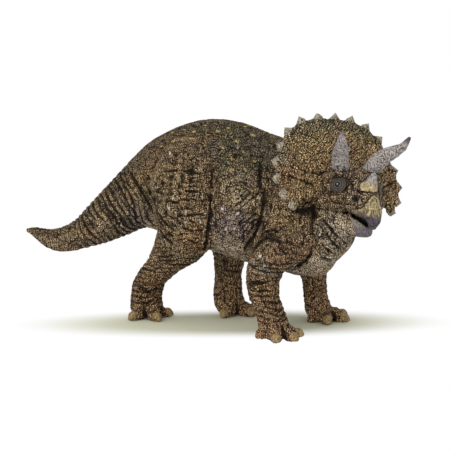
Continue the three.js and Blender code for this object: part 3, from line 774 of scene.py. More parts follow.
BODY_FOLDS = (
    Fold(((214, 164), (212, 172), (211, 182), (210, 200), (210, 215)), 0.45, 0.8, 0.3),
    Fold(((210, 190), (210, 204), (209.5, 217), (208.5, 231), (206, 244), (204, 254)), 0.7, 1.2, 0.3),
    JAW_FOLD,
    Fold(((160, 172), (175, 170.5), (193, 172), (209, 175)), 0.4, 0.32),
    Fold(((152, 190.5), (158, 192), (164, 194))),
    Fold(((184, 190), (194, 192), (205, 194))),
    Fold(((163, 200), (175, 203), (190, 204)), 0.45, 0.35),
    Fold(((168, 214), (184, 216), (206, 214)), 0.45, 0.35),
    Fold(((180, 228), (192, 231), (206, 229)), 0.5, 0.4),
    Fold(((186, 240), (196, 243), (205, 240)), 0.5, 0.45),
    Fold(((128, 167), (133, 178), (138, 188), (144, 197), (150, 206), (155, 218)), 0.7, 1.0),
    Fold(((137, 160), (140, 172), (145, 184), (151, 196), (156, 208)), 0.55, 0.5),
    Fold(((153, 207), (160, 218), (168, 226), (177, 233))),
    Fold(((155, 215), (163, 228), (172, 236), (182, 242))),
    Fold(((158, 226), (165, 238), (174, 246)), 0.5, 0.45),
    Fold(((160, 205), (168, 215), (178, 223), (190, 226)), 0.45, 0.35),
    Fold(((264, 150), (261, 165), (260, 180), (262, 196), (261, 212), (257, 229), (251, 246)), 0.6, 0.5),
    Fold(((265, 182), (264, 203), (261, 218), (255, 235), (245, 249), (240, 253)), 0.75, 1.0),
    Fold(((268, 204), (266, 213), (260, 225), (250, 240), (242, 251)), 0.5, 0.6),
    Fold(((272, 200), (270, 212), (266, 224), (260, 234)), 0.5, 0.6),
    Fold(((275, 205), (271, 218), (265, 230))),
    Fold(((252, 254), (254, 249), (259, 242.5), (267, 238), (276, 240), (281, 244)), 0.85, 0.9),
    Fold(((258, 238), (265, 232), (274, 230), (281, 233)), 0.6, 0.45),
    Fold(((281, 150), (277, 163), (275, 176), (278, 190)), 0.55, 0.7),
    Fold(((271, 140), (268, 158), (267, 175), (270, 192)), 0.55, 0.6),
    Fold(((222, 150), (220, 170), (219, 190), (221, 208)), 0.6, 0.2),
    Fold(((243, 229), (244, 236), (243, 245))),
    Fold(((213, 250), (224, 254), (238, 260), (249, 264)), 0.6, 0.5),
    Fold(((214, 203), (214, 218), (216, 232)), 0.6, 0.4),
    Fold(((314, 201), (313, 213), (312, 224), (314, 235), (318, 245)), 0.7, 0.6, 0.25),
    Fold(((304, 208), (300, 218), (299, 230)), 0.6, 0.5),
    Fold(((290, 271), (298, 266), (305, 262), (311, 254), (313, 244)), 0.6, 0.9),
    Fold(((325, 205), (331, 214), (338, 222), (345, 228))),
    Fold(((320, 212), (326, 223), (335, 234), (344, 242), (351, 247)), 0.5, 0.6),
    Fold(((319, 224), (326, 235), (335, 245), (344, 252)), 0.5, 0.55),
    Fold(((338, 224), (345, 234), (352, 244)), 0.5, 0.55),
    Fold(((318, 238), (325, 248), (335, 256))),
    Fold(((345, 222), (350, 231), (354, 240))),
    Fold(((312, 252), (322, 258), (334, 261)), 0.5, 0.45),
    Fold(((331, 208), (340, 215), (349, 218))),
    Fold(((246, 262), (252, 266), (262, 266)), 0.5, 0.45),
    Fold(((247, 281), (256, 284), (266, 283), (276, 279)), 0.5, 0.6),
    Fold(((249, 290), (258, 292), (270, 290)), 0.45, 0.35),
    Fold(((139, 268), (150, 271), (162, 268), (175, 270)), 0.45, 0.35),
    Fold(((139, 288), (148, 292), (160, 288))),
    Fold(((134, 299), (145, 303), (158, 299)), 0.5, 0.6),
)

BODY_WRINKLES = (
    Wrinkles((250, 216), (20, 36), (286, 262), 2.6, 0.42),
    Wrinkles((146, 222), (16, 34), (182, 200), 2.8, 0.42),
    Wrinkles((196, 205), (13, 42), (196, 700), 2.4, 0.36),
    Wrinkles((176, 172), (26, 30), (700, 172), 4.2, 0.3),
    Wrinkles((170, 205), (26, 34), (170, 900), 4.4, 0.3),
    Wrinkles((180, 250), (34, 22), (210, 560), 2.6, 0.34),
    Wrinkles((232, 190), (18, 30), (232, -60), 2.0, 0.24),
    Wrinkles((334, 236), (26, 30), (71, 535), 2.7, 0.3),
    Wrinkles((330, 238), (24, 28), (600, 420), 4.4, 0.22),
    Wrinkles((291, 236), (20, 30), (345, 190), 3.2, 0.34),
    Wrinkles((120, 205), (18, 30), (10, 262), 3.9, 0.45),
    Wrinkles((276, 262), (26, 16), (276, 600), 2.6, 0.36),
)

BODY_PATCHES = patches_of(
    {
        Tone.GREEN: (
            (238, 150, 32, 34, 0.8), (262, 150, 18, 30, 0.8), (236, 184, 22, 18, 0.45),
            (196, 126, 60, 9, 0.6),
        ),
        Tone.OCHRE: (
            (233, 164, 9, 14, 0.8), (245, 196, 21, 13, 0.8), (228, 184, 10, 10, 0.35),
            (104, 204, 20, 16, 0.8), (172, 186, 18, 30, 0.35), (192, 234, 18, 16, 0.55),
            (150, 275, 10, 9, 0.7), (112, 214, 20, 11, 0.7), (76, 232, 18, 8, 0.6),
            (132, 184, 16, 18, 0.7), (288, 224, 18, 22, 0.85), (300, 250, 16, 16, 0.5),
            (262, 292, 16, 14, 0.45), (229, 290, 6, 8, 0.95), (176.8, 177, 1.2, 4.4),
            (185.8, 177, 1.2, 4.6), (169.5, 167, 1.2, 4), (167.4, 181.4, 1.2, 4.6),
            (182.2, 192.7, 1.2, 4.2), (152, 185.5, 1.4, 4.6), (148.6, 159, 1.4, 4.4),
        ),
        Tone.PALE: (
            (238, 186, 24, 24, 0.3), (104, 212, 44, 26, 0.3), (243, 197, 19, 13, 0.75),
            (226, 250, 26, 7, 0.7), (262, 268, 16, 14, 0.45), (334, 236, 24, 24, 0.7),
            (324, 262, 26, 10, 0.75), (336, 222, 24, 18, 0.65),
        ),
        # Dark paint: broad darker areas on shoulder, arm, shin and back; painted shadow on the neck under the
        # frill's edge; painted shade in the creases at shoulder and arm.
        Tone.DARK: (
            (290, 236, 26, 28, 0.33), (262, 270, 18, 18, 0.2), (150, 282, 20, 20, 0.24),
            (183, 150, 34, 22, 0.22), (313, 213, 5.5, 11, 1), (304, 212, 13, 5, 0.8),
            (312.5, 230, 3.5, 14, 0.5), (267, 236, 10, 5, 0.75), (250, 244, 5.5, 9, 0.6),
            (262, 224, 4, 16, 0.4),
        ),
        Tone.VIOLET: (
            (290, 238, 24, 26, 0.3), (334, 238, 24, 24, 0.35), (232, 226, 30, 24, 0.9),
            (215, 150, 12, 14, 0.35), (256, 143, 9, 10, 0.6), (136, 220, 24, 13, 1),
            (96, 244, 26, 8, 0.5), (296, 270, 14, 6, 0.8),
        ),
        Tone.RUST: (
            (196, 238, 20, 18, 0.5), (148, 290, 16, 26, 0.35), (292, 252, 26, 22, 0.5),
            (268, 305, 26, 36, 0.45), (226, 285, 14, 36, 0.8), (315, 300, 18, 36, 0.8),
        ),
        # Painted highlights: white specks standing for glints on scales of thigh, flank and shoulder.
        Tone.CHALK: (
            (169.8, 153.4, 1.2, 2.2), (172.9, 197.8, 0.9, 2.2, 0.9), (168.9, 208.2, 1.2, 1.9, 0.9),
            (185.8, 212.5, 0.8, 3.9, 0.8), (200.3, 221.9, 1, 2.2, 0.9), (185.3, 222.8, 0.9, 2.4, 0.7),
            (176, 214, 0.7, 3.4, 0.5), (222.3, 209, 1.7, 1.4), (225.8, 228.8, 1, 2, 0.9),
            (237.8, 213.3, 1.7, 1.5, 0.9), (234.4, 228.8, 1, 1.5, 0.9), (229, 218, 0.9, 1.4, 0.7),
            (260.2, 256.4, 1.5, 2), (254, 262, 0.9, 1.5, 0.7), (264, 266, 1, 0.8, 0.7),
            (237.8, 147.5, 0.8, 2.5, 0.5),
        ),
    }
)

HEAD_FOLDS = (
    JAW_FOLD,
    Fold(((277, 174), (290, 176), (301, 180), (317, 186)), 0.7, 0.5),
    Fold(((282, 190), (292, 196), (303, 200), (313, 203)), 0.6, 0.35),
    Fold(((296, 166), (306, 172), (320, 174), (331, 170)), 0.6, 0.4),
    Fold(((318, 178), (324, 184), (326, 192), (322, 199)), 0.5, 0.3),
    Fold(((347, 176), (353, 184), (352, 194), (345, 200)), 0.6, 0.4),
    Fold(((352, 188), (358, 191), (366, 192), (374, 193)), 0.5, 0.45),
    Fold(((345, 203), (352, 205), (358, 204), (362, 199)), 0.5, 0.45),
    Fold(((343, 209), (347, 213), (350, 217))),
    Fold(((326, 200), (336, 203), (346, 206)), 0.5, 0.35),
    Fold(((353, 162), (354, 170), (352, 178)), 0.5, 0.4),
)

HEAD_WRINKLES = (
    Wrinkles((312, 152), (34, 34), (332, 186), 3.0, 0.3),
    Wrinkles((300, 190), (24, 18), (337, 184), 3.2, 0.28),
    Wrinkles((335, 202), (18, 12), (337, 184), 2.6, 0.34),
    Wrinkles((352, 172), (12, 22), (420, 190), 2.8, 0.3),
)

HEAD_PATCHES = patches_of(
    {
        Tone.OCHRE: (
            (314, 150, 26, 27, 0.95), (302, 188, 22, 17, 0.75), (301, 152, 5, 18, 1),
            (312, 167, 14, 5, 0.8), (303, 194, 8, 6, 1),
        ),
        Tone.RUST: (
            (286, 178, 16, 16, 0.4), (304, 160, 28, 30, 0.2),
        ),
        Tone.GREEN: (
            (281, 148, 11, 26, 0.75), (287, 134, 16, 10, 0.7), (300, 128, 32, 14, 0.7),
            (340, 122, 40, 12, 0.75),
        ),
        Tone.VIOLET: (
            (350, 186, 20, 20, 0.45), (342, 170, 20, 6, 0.5),
        ),
        # Dark paint: painted shadow below the brow horn's base and under the frill's edge, and a dark
        # nostril.
        Tone.DARK: (
            (340, 169.5, 11, 3.4, 0.8), (314, 208, 5, 4, 0.9), (356.4, 199.1, 2.4, 3.4, 1),
        ),
        Tone.PALE: (
            (317, 202, 4, 4, 1),
        ),
    }
)


@dataclass
class Sculptor:
    """Presses folds into a skin and lays paint on it, on both sides of a plane of symmetry."""

    mirror: Mirror

    def sides(self, shell: Shell) -> list[tuple[Array, Array, Array, Array]]:
        """Works out both sides as the photograph shows its own.

        Args:
            shell: the skin.

        Returns:
            For the right side and the mirrored left one: positions, pixels, how squarely the skin faces
            the camera, and which points count as being on that side.
        """
        normals = shell.normals()
        back = VIEW.axes()[2]
        found = []
        for flipped in (False, True):
            points, outward, across = self.mirror(shell.points, normals, flipped)
            facing = smoothstep(-0.05, 0.35, outward @ back)
            side = smoothstep(3.0, -3.0, across)
            found.append((points, VIEW.project(points), facing, side))
        return found

    def fold(self, shell: Shell, folds: tuple[Fold | Wrinkles, ...]) -> Array:
        """Gives the height of all creases at each point of a skin."""
        total = np.zeros(len(shell.points))
        for points, pixels, facing, side in self.sides(shell):
            for crease in folds:
                total += crease.height(points, pixels) * facing * side
        return total

    def lay(self, shell: Shell, patches: tuple[Patch, ...]) -> None:
        """Lays ovals of paint on a skin, with ragged edges."""
        ragged = np.stack([lattice_noise(shell.points, 3.0, seed) for seed in (21, 22)], axis=1) * 0.4
        for _, pixels, facing, side in self.sides(shell):
            for patch in patches:
                shell.cover(patch.tone, patch.amount(pixels, ragged) * np.maximum(facing, 0.25) * side)


def mirror_body(points: Array, normals: Array, flipped: bool) -> tuple[Array, Array, Array]:
    """Mirrors the body in its middle plane if asked, and says how far left each point then lies."""
    if flipped:
        points = points * (1.0, -1.0, 1.0) + (0.0, 2.0 * MIDDLE, 0.0)
        normals = normals * (1.0, -1.0, 1.0)
    return points, normals, points[:, 1] - MIDDLE


def mirror_head(points: Array, normals: Array, flipped: bool) -> tuple[Array, Array, Array]:
    """Mirrors the head in its own middle plane if asked, and says how far left each point then lies."""
    inside, outward = HEAD.inside(points), normals @ HEAD.turn()
    if flipped:
        inside, outward = inside * (1.0, -1.0, 1.0), outward * (1.0, -1.0, 1.0)
    return HEAD.outside(inside), outward @ HEAD.turn().T, inside[:, 1]


def creases_along(travel: Array, points: Array, spacing: float, seed: int) -> Array:
    """Rings of wrinkles across a limb.

    Args:
        travel: how far along the limb each point lies, in millimetres.
        points: positions in millimetres.
        spacing: distance between two rings.
        seed: picks how they wander.

    Returns:
        0 between the rings and -1 at the bottom of one.
    """
    bend = 0.5 * lattice_noise(points, 9.0, seed)
    place = travel / spacing + bend + 0.25 * lattice_noise(points, 3.5, seed + 1)
    gap = np.abs(place - np.round(place))
    strength = np.clip(0.75 + 0.6 * lattice_noise(points, 6.0, seed + 2), 0.0, 1.0)
    return -strength * np.exp(-((gap / 0.22) ** 2))


def new_material(name: str) -> tuple[Material, Tree]:
    """Makes an empty material, and gives its node tree too."""
    made = bpy.data.materials.new(name)
    made.use_nodes = True
    made.node_tree.nodes.clear()
    return made, made.node_tree


def finish_material(tree: Tree, surface: Socket) -> None:
    """Ends a shader tree with its output."""
    tree.links.new(surface, tree.nodes.new("ShaderNodeOutputMaterial").inputs["Surface"])


@dataclass(frozen=True)
class Hide:
    """Painted and dry-brushed vinyl over a cast hide: a dark wash lies in the cracks, and the tops of the
    scales carry a lighter, chalkier paint. The skin's dark paint, much of it painted shade in creases and
    hollows, takes the cracks' colour, and white specks on the tops are painted highlights. Matt, with a
    slight sheen on the tops. Sizes in millimetres. A span says between which measures of a scale or a noise
    a paint sets in. The bump is a strength and a depth, and the roughness is that of the cracks and of the
    tops."""

    name: str
    relief: Relief
    base: str = "#a68460"
    olive: str = "#8a7a5d"
    crack_and_shade: str = "#120b06"
    brushed: str = "#dfc7a0"
    ochre: str = "#dfbd78"
    green: str = "#76755c"
    violet: str = "#96857f"
    pale: str = "#ecdabd"
    rust: str = "#c48b61"
    # Colour of the painted highlights, white specks on the scales' tops.
    chalk: str = "#e6e2d8"
    brushing: float = 1.9
    brush_cover: float = 0.75
    uneven: Pair = (0.78, 1.16)
    crack_span: Pair = (0.05, 0.26)
    net_span: Pair = (0.01, 0.09)
    net_least: float = 0.3
    top_span: Pair = (0.18, 0.42)
    cloud_scale: float = 0.07
    cloud_span: Pair = (0.35, 0.65)
    grain_scale: float = 1.1
    speckle_span: Pair = (0.28, 0.62)
    lucky_span: Pair = (0.15, 0.75)
    least_often: float = 0.6
    bump: Pair = (0.55, 0.35)
    rough: Pair = (0.85, 0.55)
    shine: float = 0.08

    def material(self) -> Material:
        """Builds the material."""
        made, tree = new_material(self.name)
        node = partial(add, tree)
        here = node("ShaderNodeTexCoord", output="Object")
        place = node("ShaderNodeVectorMath", {0: here, "Scale": 1 / MM}, operation="SCALE")
        relief = self.relief
        gap = cell_edge(tree, place, 1 / relief.scale, relief.drift)
        own = cell_edge(tree, place, 1 / relief.scale, relief.drift, "F1", "Color")
        net = cell_edge(tree, place, 1 / relief.wrinkle, relief.drift)
        open_scale, open_net, top = (
            node(
                "ShaderNodeMapRange",
                {"Value": value, "From Min": low, "From Max": high, "To Min": least},
                interpolation_type="SMOOTHSTEP",
            )
            for value, (low, high), least in (
                (gap, self.crack_span, 0.0),
                (net, self.net_span, self.net_least),
                (gap, self.top_span, 0.0),
            )
        )
        raised = node("ShaderNodeMath", {0: open_scale, 1: open_net}, operation="MULTIPLY")
        luck, chance = (node("ShaderNodeSeparateColor", {0: own}, channel) for channel in ("Red", "Green"))
        cloud, grain = (
            node("ShaderNodeTexNoise", {"Vector": place, "Detail": 3.0, **noise}, "Fac")
            for noise in (
                {"Scale": self.cloud_scale, "Roughness": 0.6},
                {"Scale": self.grain_scale, "Roughness": 0.7},
            )
        )
        broad, speckle, lucky = (
            node("ShaderNodeMapRange", {"Value": value, "From Min": low, "From Max": high})
            for value, (low, high) in (
                (cloud, self.cloud_span),
                (grain, self.speckle_span),
                (luck, self.lucky_span),
            )
        )
        tint, often, rough = (
            node("ShaderNodeMapRange", {"Value": value, "To Min": low, "To Max": high})
            for value, (low, high) in (
                (chance, self.uneven),
                (luck, (self.least_often, 1.0)),
                (raised, self.rough),
            )
        )
        green, rust, violet, pale, ochre, dark, chalk = (
            node("ShaderNodeAttribute", {}, "Fac", attribute_name=tone.value)
            for tone in (Tone.GREEN, Tone.RUST, Tone.VIOLET, Tone.PALE, Tone.OCHRE, Tone.DARK, Tone.CHALK)
        )
        gilded = node("ShaderNodeMath", {0: ochre, 1: lucky}, operation="MULTIPLY")
        gilded, painted_glint_share = (
            node("ShaderNodeMath", {0: share, 1: speckle}, operation="MULTIPLY") for share in (gilded, chalk)
        )
        colour = linear(self.olive)
        for share, code in (
            (broad, self.base),
            (green, self.green),
            (rust, self.rust),
            (violet, self.violet),
            (pale, self.pale),
            (gilded, self.ochre),
        ):
            colour = node("ShaderNodeMix", {0: share, 6: colour, 7: linear(code)}, 2, data_type="RGBA")
        colour = node("ShaderNodeVectorMath", {0: colour, "Scale": tint}, operation="SCALE")
        brushed = top
        for factor in (often, speckle, self.brushing):
            brushed = node("ShaderNodeMath", {0: brushed, 1: factor}, operation="MULTIPLY", use_clamp=True)
        cover = {0: self.brush_cover, 6: colour, 7: linear(self.brushed)}
        lighter = node("ShaderNodeMix", cover, 2, data_type="RGBA")
        # Cracks and dark paint, painted shade among it, take the crack colour.
        lit = node("ShaderNodeMath", {0: 1.0, 1: dark}, operation="SUBTRACT", use_clamp=True)
        lit = node("ShaderNodeMath", {0: lit, 1: raised}, operation="MULTIPLY")
        colour = node("ShaderNodeMix", {0: brushed, 6: colour, 7: lighter}, 2, data_type="RGBA")
        colour = node("ShaderNodeMix", {0: lit, 6: linear(self.crack_and_shade), 7: colour}, 2, data_type="RGBA")
        # White specks, painted highlights, where the grain allows.
        colour = node("ShaderNodeMix", {0: painted_glint_share, 6: colour, 7: linear(self.chalk)}, 2, data_type="RGBA")
        height = node("ShaderNodeMath", {0: raised, 1: grain}, operation="ADD")
        strength, depth = self.bump
        bump = node("ShaderNodeBump", {"Strength": strength, "Distance": depth * MM, "Height": height})
        coat = {"Base Color": colour, "Roughness": rough, "Specular IOR Level": self.shine, "Normal": bump}
        finish_material(tree, node("ShaderNodeBsdfPrincipled", coat))
        return made


@dataclass(frozen=True)
class Horn:
    """Painted vinyl cast as horn: fine grain runs along it with a dark wash in it, and the same colour shows
    where the skin's dark paint lies, painted shade among it. Slightly less matt than the hide. The tip paint
    shades it towards a second colour. The bump is a strength and a depth."""

    name: str
    base: str
    tip: str
    dark_wash_and_shade: str = "#1e1815"
    grain: Triple = (1.5, 1.5, 0.8)
    streak_span: Pair = (0.42, 0.58)
    washing: float = 0.7
    bump: Pair = (0.5, 0.3)
    roughness: float = 0.5
    shine: float = 0.25

    def material(self) -> Material:
        """Builds the material."""
        made, tree = new_material(self.name)
        node = partial(add, tree)
        place = node("ShaderNodeTexCoord", output="Object")
        grain = tuple(g / MM for g in self.grain)
        place = node("ShaderNodeVectorMath", {0: place, 1: grain}, operation="MULTIPLY")
        noise = {"Vector": place, "Scale": 1.1, "Detail": 4.0, "Roughness": 0.65}
        streak = node("ShaderNodeTexNoise", noise, "Fac")
        tip, dark = (
            node("ShaderNodeAttribute", {}, "Fac", attribute_name=tone.value)
            for tone in (Tone.TIP, Tone.DARK)
        )
        ends = {0: tip, 6: linear(self.base), 7: linear(self.tip)}
        colour = node("ShaderNodeMix", ends, 2, data_type="RGBA")
        low, high = self.streak_span
        span = {"Value": streak, "From Min": low, "From Max": high, "To Min": 1.0 - self.washing}
        clean = node("ShaderNodeMapRange", span)
        # Dark paint, painted shade among it, shows the wash's colour.
        clean = node("ShaderNodeMath", {0: clean, 1: dark}, operation="SUBTRACT", use_clamp=True)
        colour = node("ShaderNodeMix", {0: clean, 6: linear(self.dark_wash_and_shade), 7: colour}, 2, data_type="RGBA")
        strength, depth = self.bump
        bump = node("ShaderNodeBump", {"Strength": strength, "Distance": depth * MM, "Height": streak})
        coat = {"Base Color": colour, "Roughness": self.roughness, "Normal": bump}
        coat["Specular IOR Level"] = self.shine
        finish_material(tree, node("ShaderNodeBsdfPrincipled", coat))
        return made


@dataclass(frozen=True)
class Gloss:
    """Glossy lacquer on the painted eyes: black on the eyeballs, and white on the dots that are their painted
    highlights.
    """

    name: str = "eye_black_lacquer"
    colour: str = "#0b0908"
    roughness: float = 0.12

    def material(self) -> Material:
        """Builds the material."""
        made, tree = new_material(self.name)
        coat = {"Base Color": linear(self.colour), "Roughness": self.roughness}
        finish_material(tree, add(tree, "ShaderNodeBsdfPrincipled", coat))
        return made


@dataclass(frozen=True)
class Cut:
    """A part of a skin with a finish of its own, told by pixels of the photograph and by the head's own X."""

    name: str
    outline: tuple[Pair, ...]
    least_forward: float
    solids: tuple[str, ...] = ("head", "lower_jaw")

    def inside(self, points: Array, pixels: Array) -> Array:
        """Says which points lie in it."""
        crossings = np.zeros(len(pixels), bool)
        corners = np.array(self.outline)
        for (ax, ay), (bx, by) in zip(corners, np.roll(corners, -1, axis=0)):
            spans = (ay > pixels[:, 1]) != (by > pixels[:, 1])
            where = (bx - ax) * (pixels[:, 1] - ay) / (by - ay if by != ay else 1.0) + ax
            crossings ^= spans & (pixels[:, 0] < where)
        return crossings & (HEAD.inside(points)[:, 0] > self.least_forward)


NOSE_OUTLINE = (
    ((359.8, 185.5), (360.2, 190.8), (369.8, 191.6), (375.9, 192.7), (381.0, 193.2))
    + ((381.0, 169.0), (372.5, 170.0), (369.3, 176.3), (365.0, 180.4), (360.3, 184.0))
)
MOUTH = ((357.0, 220.0), (362.0, 223.5), (368.0, 228.0), (376.0, 231.5), (392.0, 234.0))
BEAK_ROOT = ((351.0, 209.7), (357.6, 208.9), (362.7, 208.4), (365.2, 204.6), (373.0, 195.0), (392.0, 196.0))
CHIN = ((392.0, 246.0), (362.0, 246.0), (356.0, 233.0), (352.5, 225.0))
CUTS = (
    Cut("nose_horn", NOSE_OUTLINE, 8.0),
    Cut("upper_beak", (*BEAK_ROOT, *reversed(MOUTH), (352.5, 217.5)), 7.0),
    Cut("lower_beak", ((351.5, 217.5), *MOUTH, *CHIN), 7.0),
)


def closed_part(points: Array, faces: Array) -> tuple[list[int], list[list[int]], Array]:
    """Closes a part that was cut from a skin: each rim gets a fan to its middle, inside the figure.

    Args:
        points: the whole skin's points.
        faces: the part's faces, as the whole skin numbers its points.

    Returns:
        The part's points as the whole skin numbers them, its faces as the part numbers them, and the
        middles that follow its points.
    """
    used, local = np.unique(faces, return_inverse=True)
    local = local.reshape(faces.shape)
    ring = np.concatenate([local[:, [i, (i + 1) % 4]] for i in range(4)])
    codes = ring[:, 0] * len(used) + ring[:, 1]
    back = ring[:, 1] * len(used) + ring[:, 0]
    rim = ring[~np.isin(codes, back)]
    following: dict[int, list[int]] = {}
    for start, end in rim.tolist():
        following.setdefault(start, []).append(end)
    loops = []
    while following:
        start = next(iter(following))
        loop, step = [], start
        while step in following:
            loop.append(step)
            ways = following[step]
            step_to = ways.pop()
            if not ways:
                del following[step]
            step = step_to
        loops.append(loop)
    result = local.tolist()
    middles = []
    for loop in loops:
        centre = len(used) + len(middles)
        middles.append(points[used[loop]].mean(axis=0))
        result += [[b, a, centre] for a, b in zip(loop, loop[1:] + loop[:1])]
    return used.tolist(), result, np.array(middles).reshape(-1, 3)


def cut_pieces(shell: Shell, labels: Array, materials: dict[str, Material]) -> dict[str, Object]:
    """Cuts a skin to pieces that keep one shading across their seams.

    Args:
        shell: the skin.
        labels: each point's piece name.
        materials: each piece's material.

    Returns:
        The pieces by name.
    """
    normals = shell.normals()
    by_face = labels[shell.faces[:, 0]]
    made = {}
    for name, material in materials.items():
        used, faces, middles = closed_part(shell.points, shell.faces[by_face == name])
        points = np.concatenate([shell.points[used], middles])
        blank = np.zeros(len(middles))
        paint = {tone: np.concatenate([values[used], blank]) for tone, values in shell.paint.items()}
        data = mesh_from(name, points, faces, paint)
        outward = np.concatenate([normals[used], np.tile((0.0, 0.0, 1.0), (len(middles), 1))])
        data.normals_split_custom_set_from_vertices(outward.tolist())
        data.materials.append(material)
        made[name] = object_from(data)
    return made


def owners(points: Array, nodes: dict[str, Object]) -> Array:
    """Names the solid whose surface lies nearest to each point."""
    best = np.full(len(points), np.inf)
    named = np.full(len(points), "", dtype=object)
    for name, node in nodes.items():
        own, triangles = merged_copy(node)
        tree = BVHTree.FromPolygons(own.tolist(), triangles.tolist())
        near = np.all((points > own.min(0) - 2.0) & (points < own.max(0) + 2.0), axis=1)
        gaps = np.array([tree.find_nearest(p)[3] for p in points[near].tolist()])
        closer = gaps < best[near]
        index = np.flatnonzero(near)[closer]
        best[index], named[index] = gaps[closer], name
    return named


def solid_box() -> tuple[Array, Array]:
    """Gives the lowest and highest corner of all solids, in millimetres."""
    corners = np.array([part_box(name) for name in SOLIDS]) / MM
    return corners[:, 0].min(axis=0), corners[:, 1].max(axis=0)


def clamp(shell: Shell) -> None:
    """Keeps a skin in the solids' box and on the ground."""
    shell.points = np.clip(shell.points, *solid_box())


@dataclass(frozen=True)
class Growths:
    """A shape that repeats on the skin, such as claws. Each one is turned and sized on its own."""

    name: str
    across: int = 10
    down: int = 7
    square: float = 1.0

    def template(self) -> Object:
        """Makes the shape that repeats: a ball of size 1, pinched to its ends along X if square is over 1."""
        work = bmesh.new()
        bmesh.ops.create_uvsphere(work, u_segments=self.across, v_segments=self.down, radius=0.5)
        for vertex in work.verts:
            taper = 1.0 - (self.square - 1.0) * max(vertex.co.x, 0.0) * 2.0
            vertex.co.y *= taper
            vertex.co.z *= taper
        data = bpy.data.meshes.new(self.name + "_template")
        work.to_mesh(data)
        work.free()
        return object_from(data)

    def tree(self, template: Object, material: Material) -> Tree:
        """Builds the node tree that sets the shape on points."""
        tree, source = geometry_tree(self.name, "Size")
        node = partial(add, tree)
        shape = node("GeometryNodeObjectInfo", {"Object": template}, "Geometry")
        turn, size = (
            node("GeometryNodeInputNamedAttribute", {"Name": name}, data_type="FLOAT_VECTOR")
            for name in ("turn", "size")
        )
        size = node("ShaderNodeVectorMath", {0: size, "Scale": source["Size"]}, operation="SCALE")
        copies = {"Points": source["Geometry"], "Instance": shape, "Rotation": turn, "Scale": size}
        made = node("GeometryNodeInstanceOnPoints", copies)
        for kind in ("GeometryNodeRealizeInstances", "GeometryNodeSetShadeSmooth"):
            made = node(kind, {"Geometry": made})
        add_output(tree, node("GeometryNodeSetMaterial", {"Geometry": made, "Material": material}))
        return tree

    def build(self, places: Array, turns: Array, sizes: Array, material: Material) -> Object:
        """Sets the shape on the skin.

        Args:
            places: where each one's middle is, in millimetres.
            turns: each one's Euler angles.
            sizes: each one's length, width and height in millimetres.
            material: its finish.

        Returns:
            One plain object of them all.
        """
        points = bpy.data.meshes.new(self.name)
        points.from_pydata((places * MM).tolist(), [], [])
        for name, values in (("turn", turns), ("size", sizes)):
            points.attributes.new(name, "FLOAT_VECTOR", "POINT").data.foreach_set("vector", values.ravel())
        work = object_from(points)
        template = self.template()
        run_tree(work, self.tree(template, material), (MM,))
        data = evaluated_mesh(work)
        drop(work)
        drop(template)
        data.name = self.name
        place = np.clip(coordinates(data), *solid_box()) * MM
        data.vertices.foreach_set("co", place.ravel())
        data.update()
        return object_from(data)


def upright_turns(lengthwise: Array, outward: Array) -> Array:
    """Finds Euler angles that turn X along one direction and Z nearly along another.

    Args:
        lengthwise: the direction of X for each one.
        outward: the direction of Z for each one.

    Returns:
        The angles, one row for each.
    """
    turns = []
    for along, out in zip(lengthwise, outward):
        x = Vector(along).normalized()
        y = Vector(out).cross(x).normalized()
        turns.append(Matrix((x, y, x.cross(y))).transposed().to_euler())
    return np.array(turns)


@dataclass(frozen=True)
class Foot:
    """A foot: where its sole's middle is, and each claw's place and direction. Millimetres and degrees."""

    sole: Pair
    claws: tuple[Triple, ...]
    gap_width: float = 0.9
    gap_heights: Pair = (3.5, 9.0)
    gap_start: Pair = (2.0, 5.0)

    def gaps(self, points: Array) -> Array:
        """Gives the depth of the gaps between toes at each point, as a share."""
        depth = np.zeros(len(points))
        middle = np.array(self.sole)
        place = points[:, :2] - middle
        low = 1.0 - smoothstep(*self.gap_heights, points[:, 2])
        for first, second in zip(self.claws[:-1], self.claws[1:]):
            way = unit((np.array(first[:2]) + np.array(second[:2])) / 2 - middle)
            ahead = place @ way
            aside = np.abs(place @ np.array((-way[1], way[0])))
            gap = np.exp(-((aside / self.gap_width) ** 2)) * low * smoothstep(*self.gap_start, ahead)
            depth = np.maximum(depth, gap)
        return depth


FEET = {
    "hind_leg_right": Foot((-31.4, -9.5), ((-35.7, -18.7, -108), (-24.2, -15.0, -34), (-24.1, -4.0, 32))),
    "hind_leg_left": Foot((5.8, 17.2), ((3.8, 7.1, -94), (14.6, 15.1, -10), (11.5, 24.1, 46))),
    "foreleg_right": Foot((47.7, -20.3), ((50.1, -29.2, -68), (56.3, -22.9, -16), (54.9, -14.7, 32))),
    "foreleg_left": Foot((53.6, 25.4), ((57.3, 16.9, -60), (62.6, 25.8, 2), (58.5, 33.3, 52))),
}

TAIL_LINE = (
    *((-37.5, 2.3, 67.3), (-47.3, 0.6, 60.5), (-57.2, -1.6, 53.1), (-67.0, -4.1, 46.2), (-76.9, -6.6, 39.4)),
    *((-85.7, -8.6, 36.5), (-92.9, -9.7, 36.5), (-99.0, -10.6, 39.2), (-103.8, -10.6, 40.3)),
)


def report(piece: Object, slot: str, name: str, *replaced: str) -> None:
    """Names a finished piece, hands it to the figure's one body, and logs it.

    Args:
        piece: the piece.
        slot: the name of a material slot; not used.
        name: its name.
        replaced: the solids that it stands for.
    """
    piece.name = name
    piece.data.name = name
    if replaced:
        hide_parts(*replaced)
    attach(piece, BODY)
    LOG.info("%s: %d triangles", name, sum(len(f.vertices) - 2 for f in piece.data.polygons))


@dataclass(frozen=True)
class Finishes:
    """The finishes of the skin's parts."""

    hide: Hide
    brow_horn: Horn
    nose_horn: Horn
    upper_beak: Horn
    lower_beak: Horn


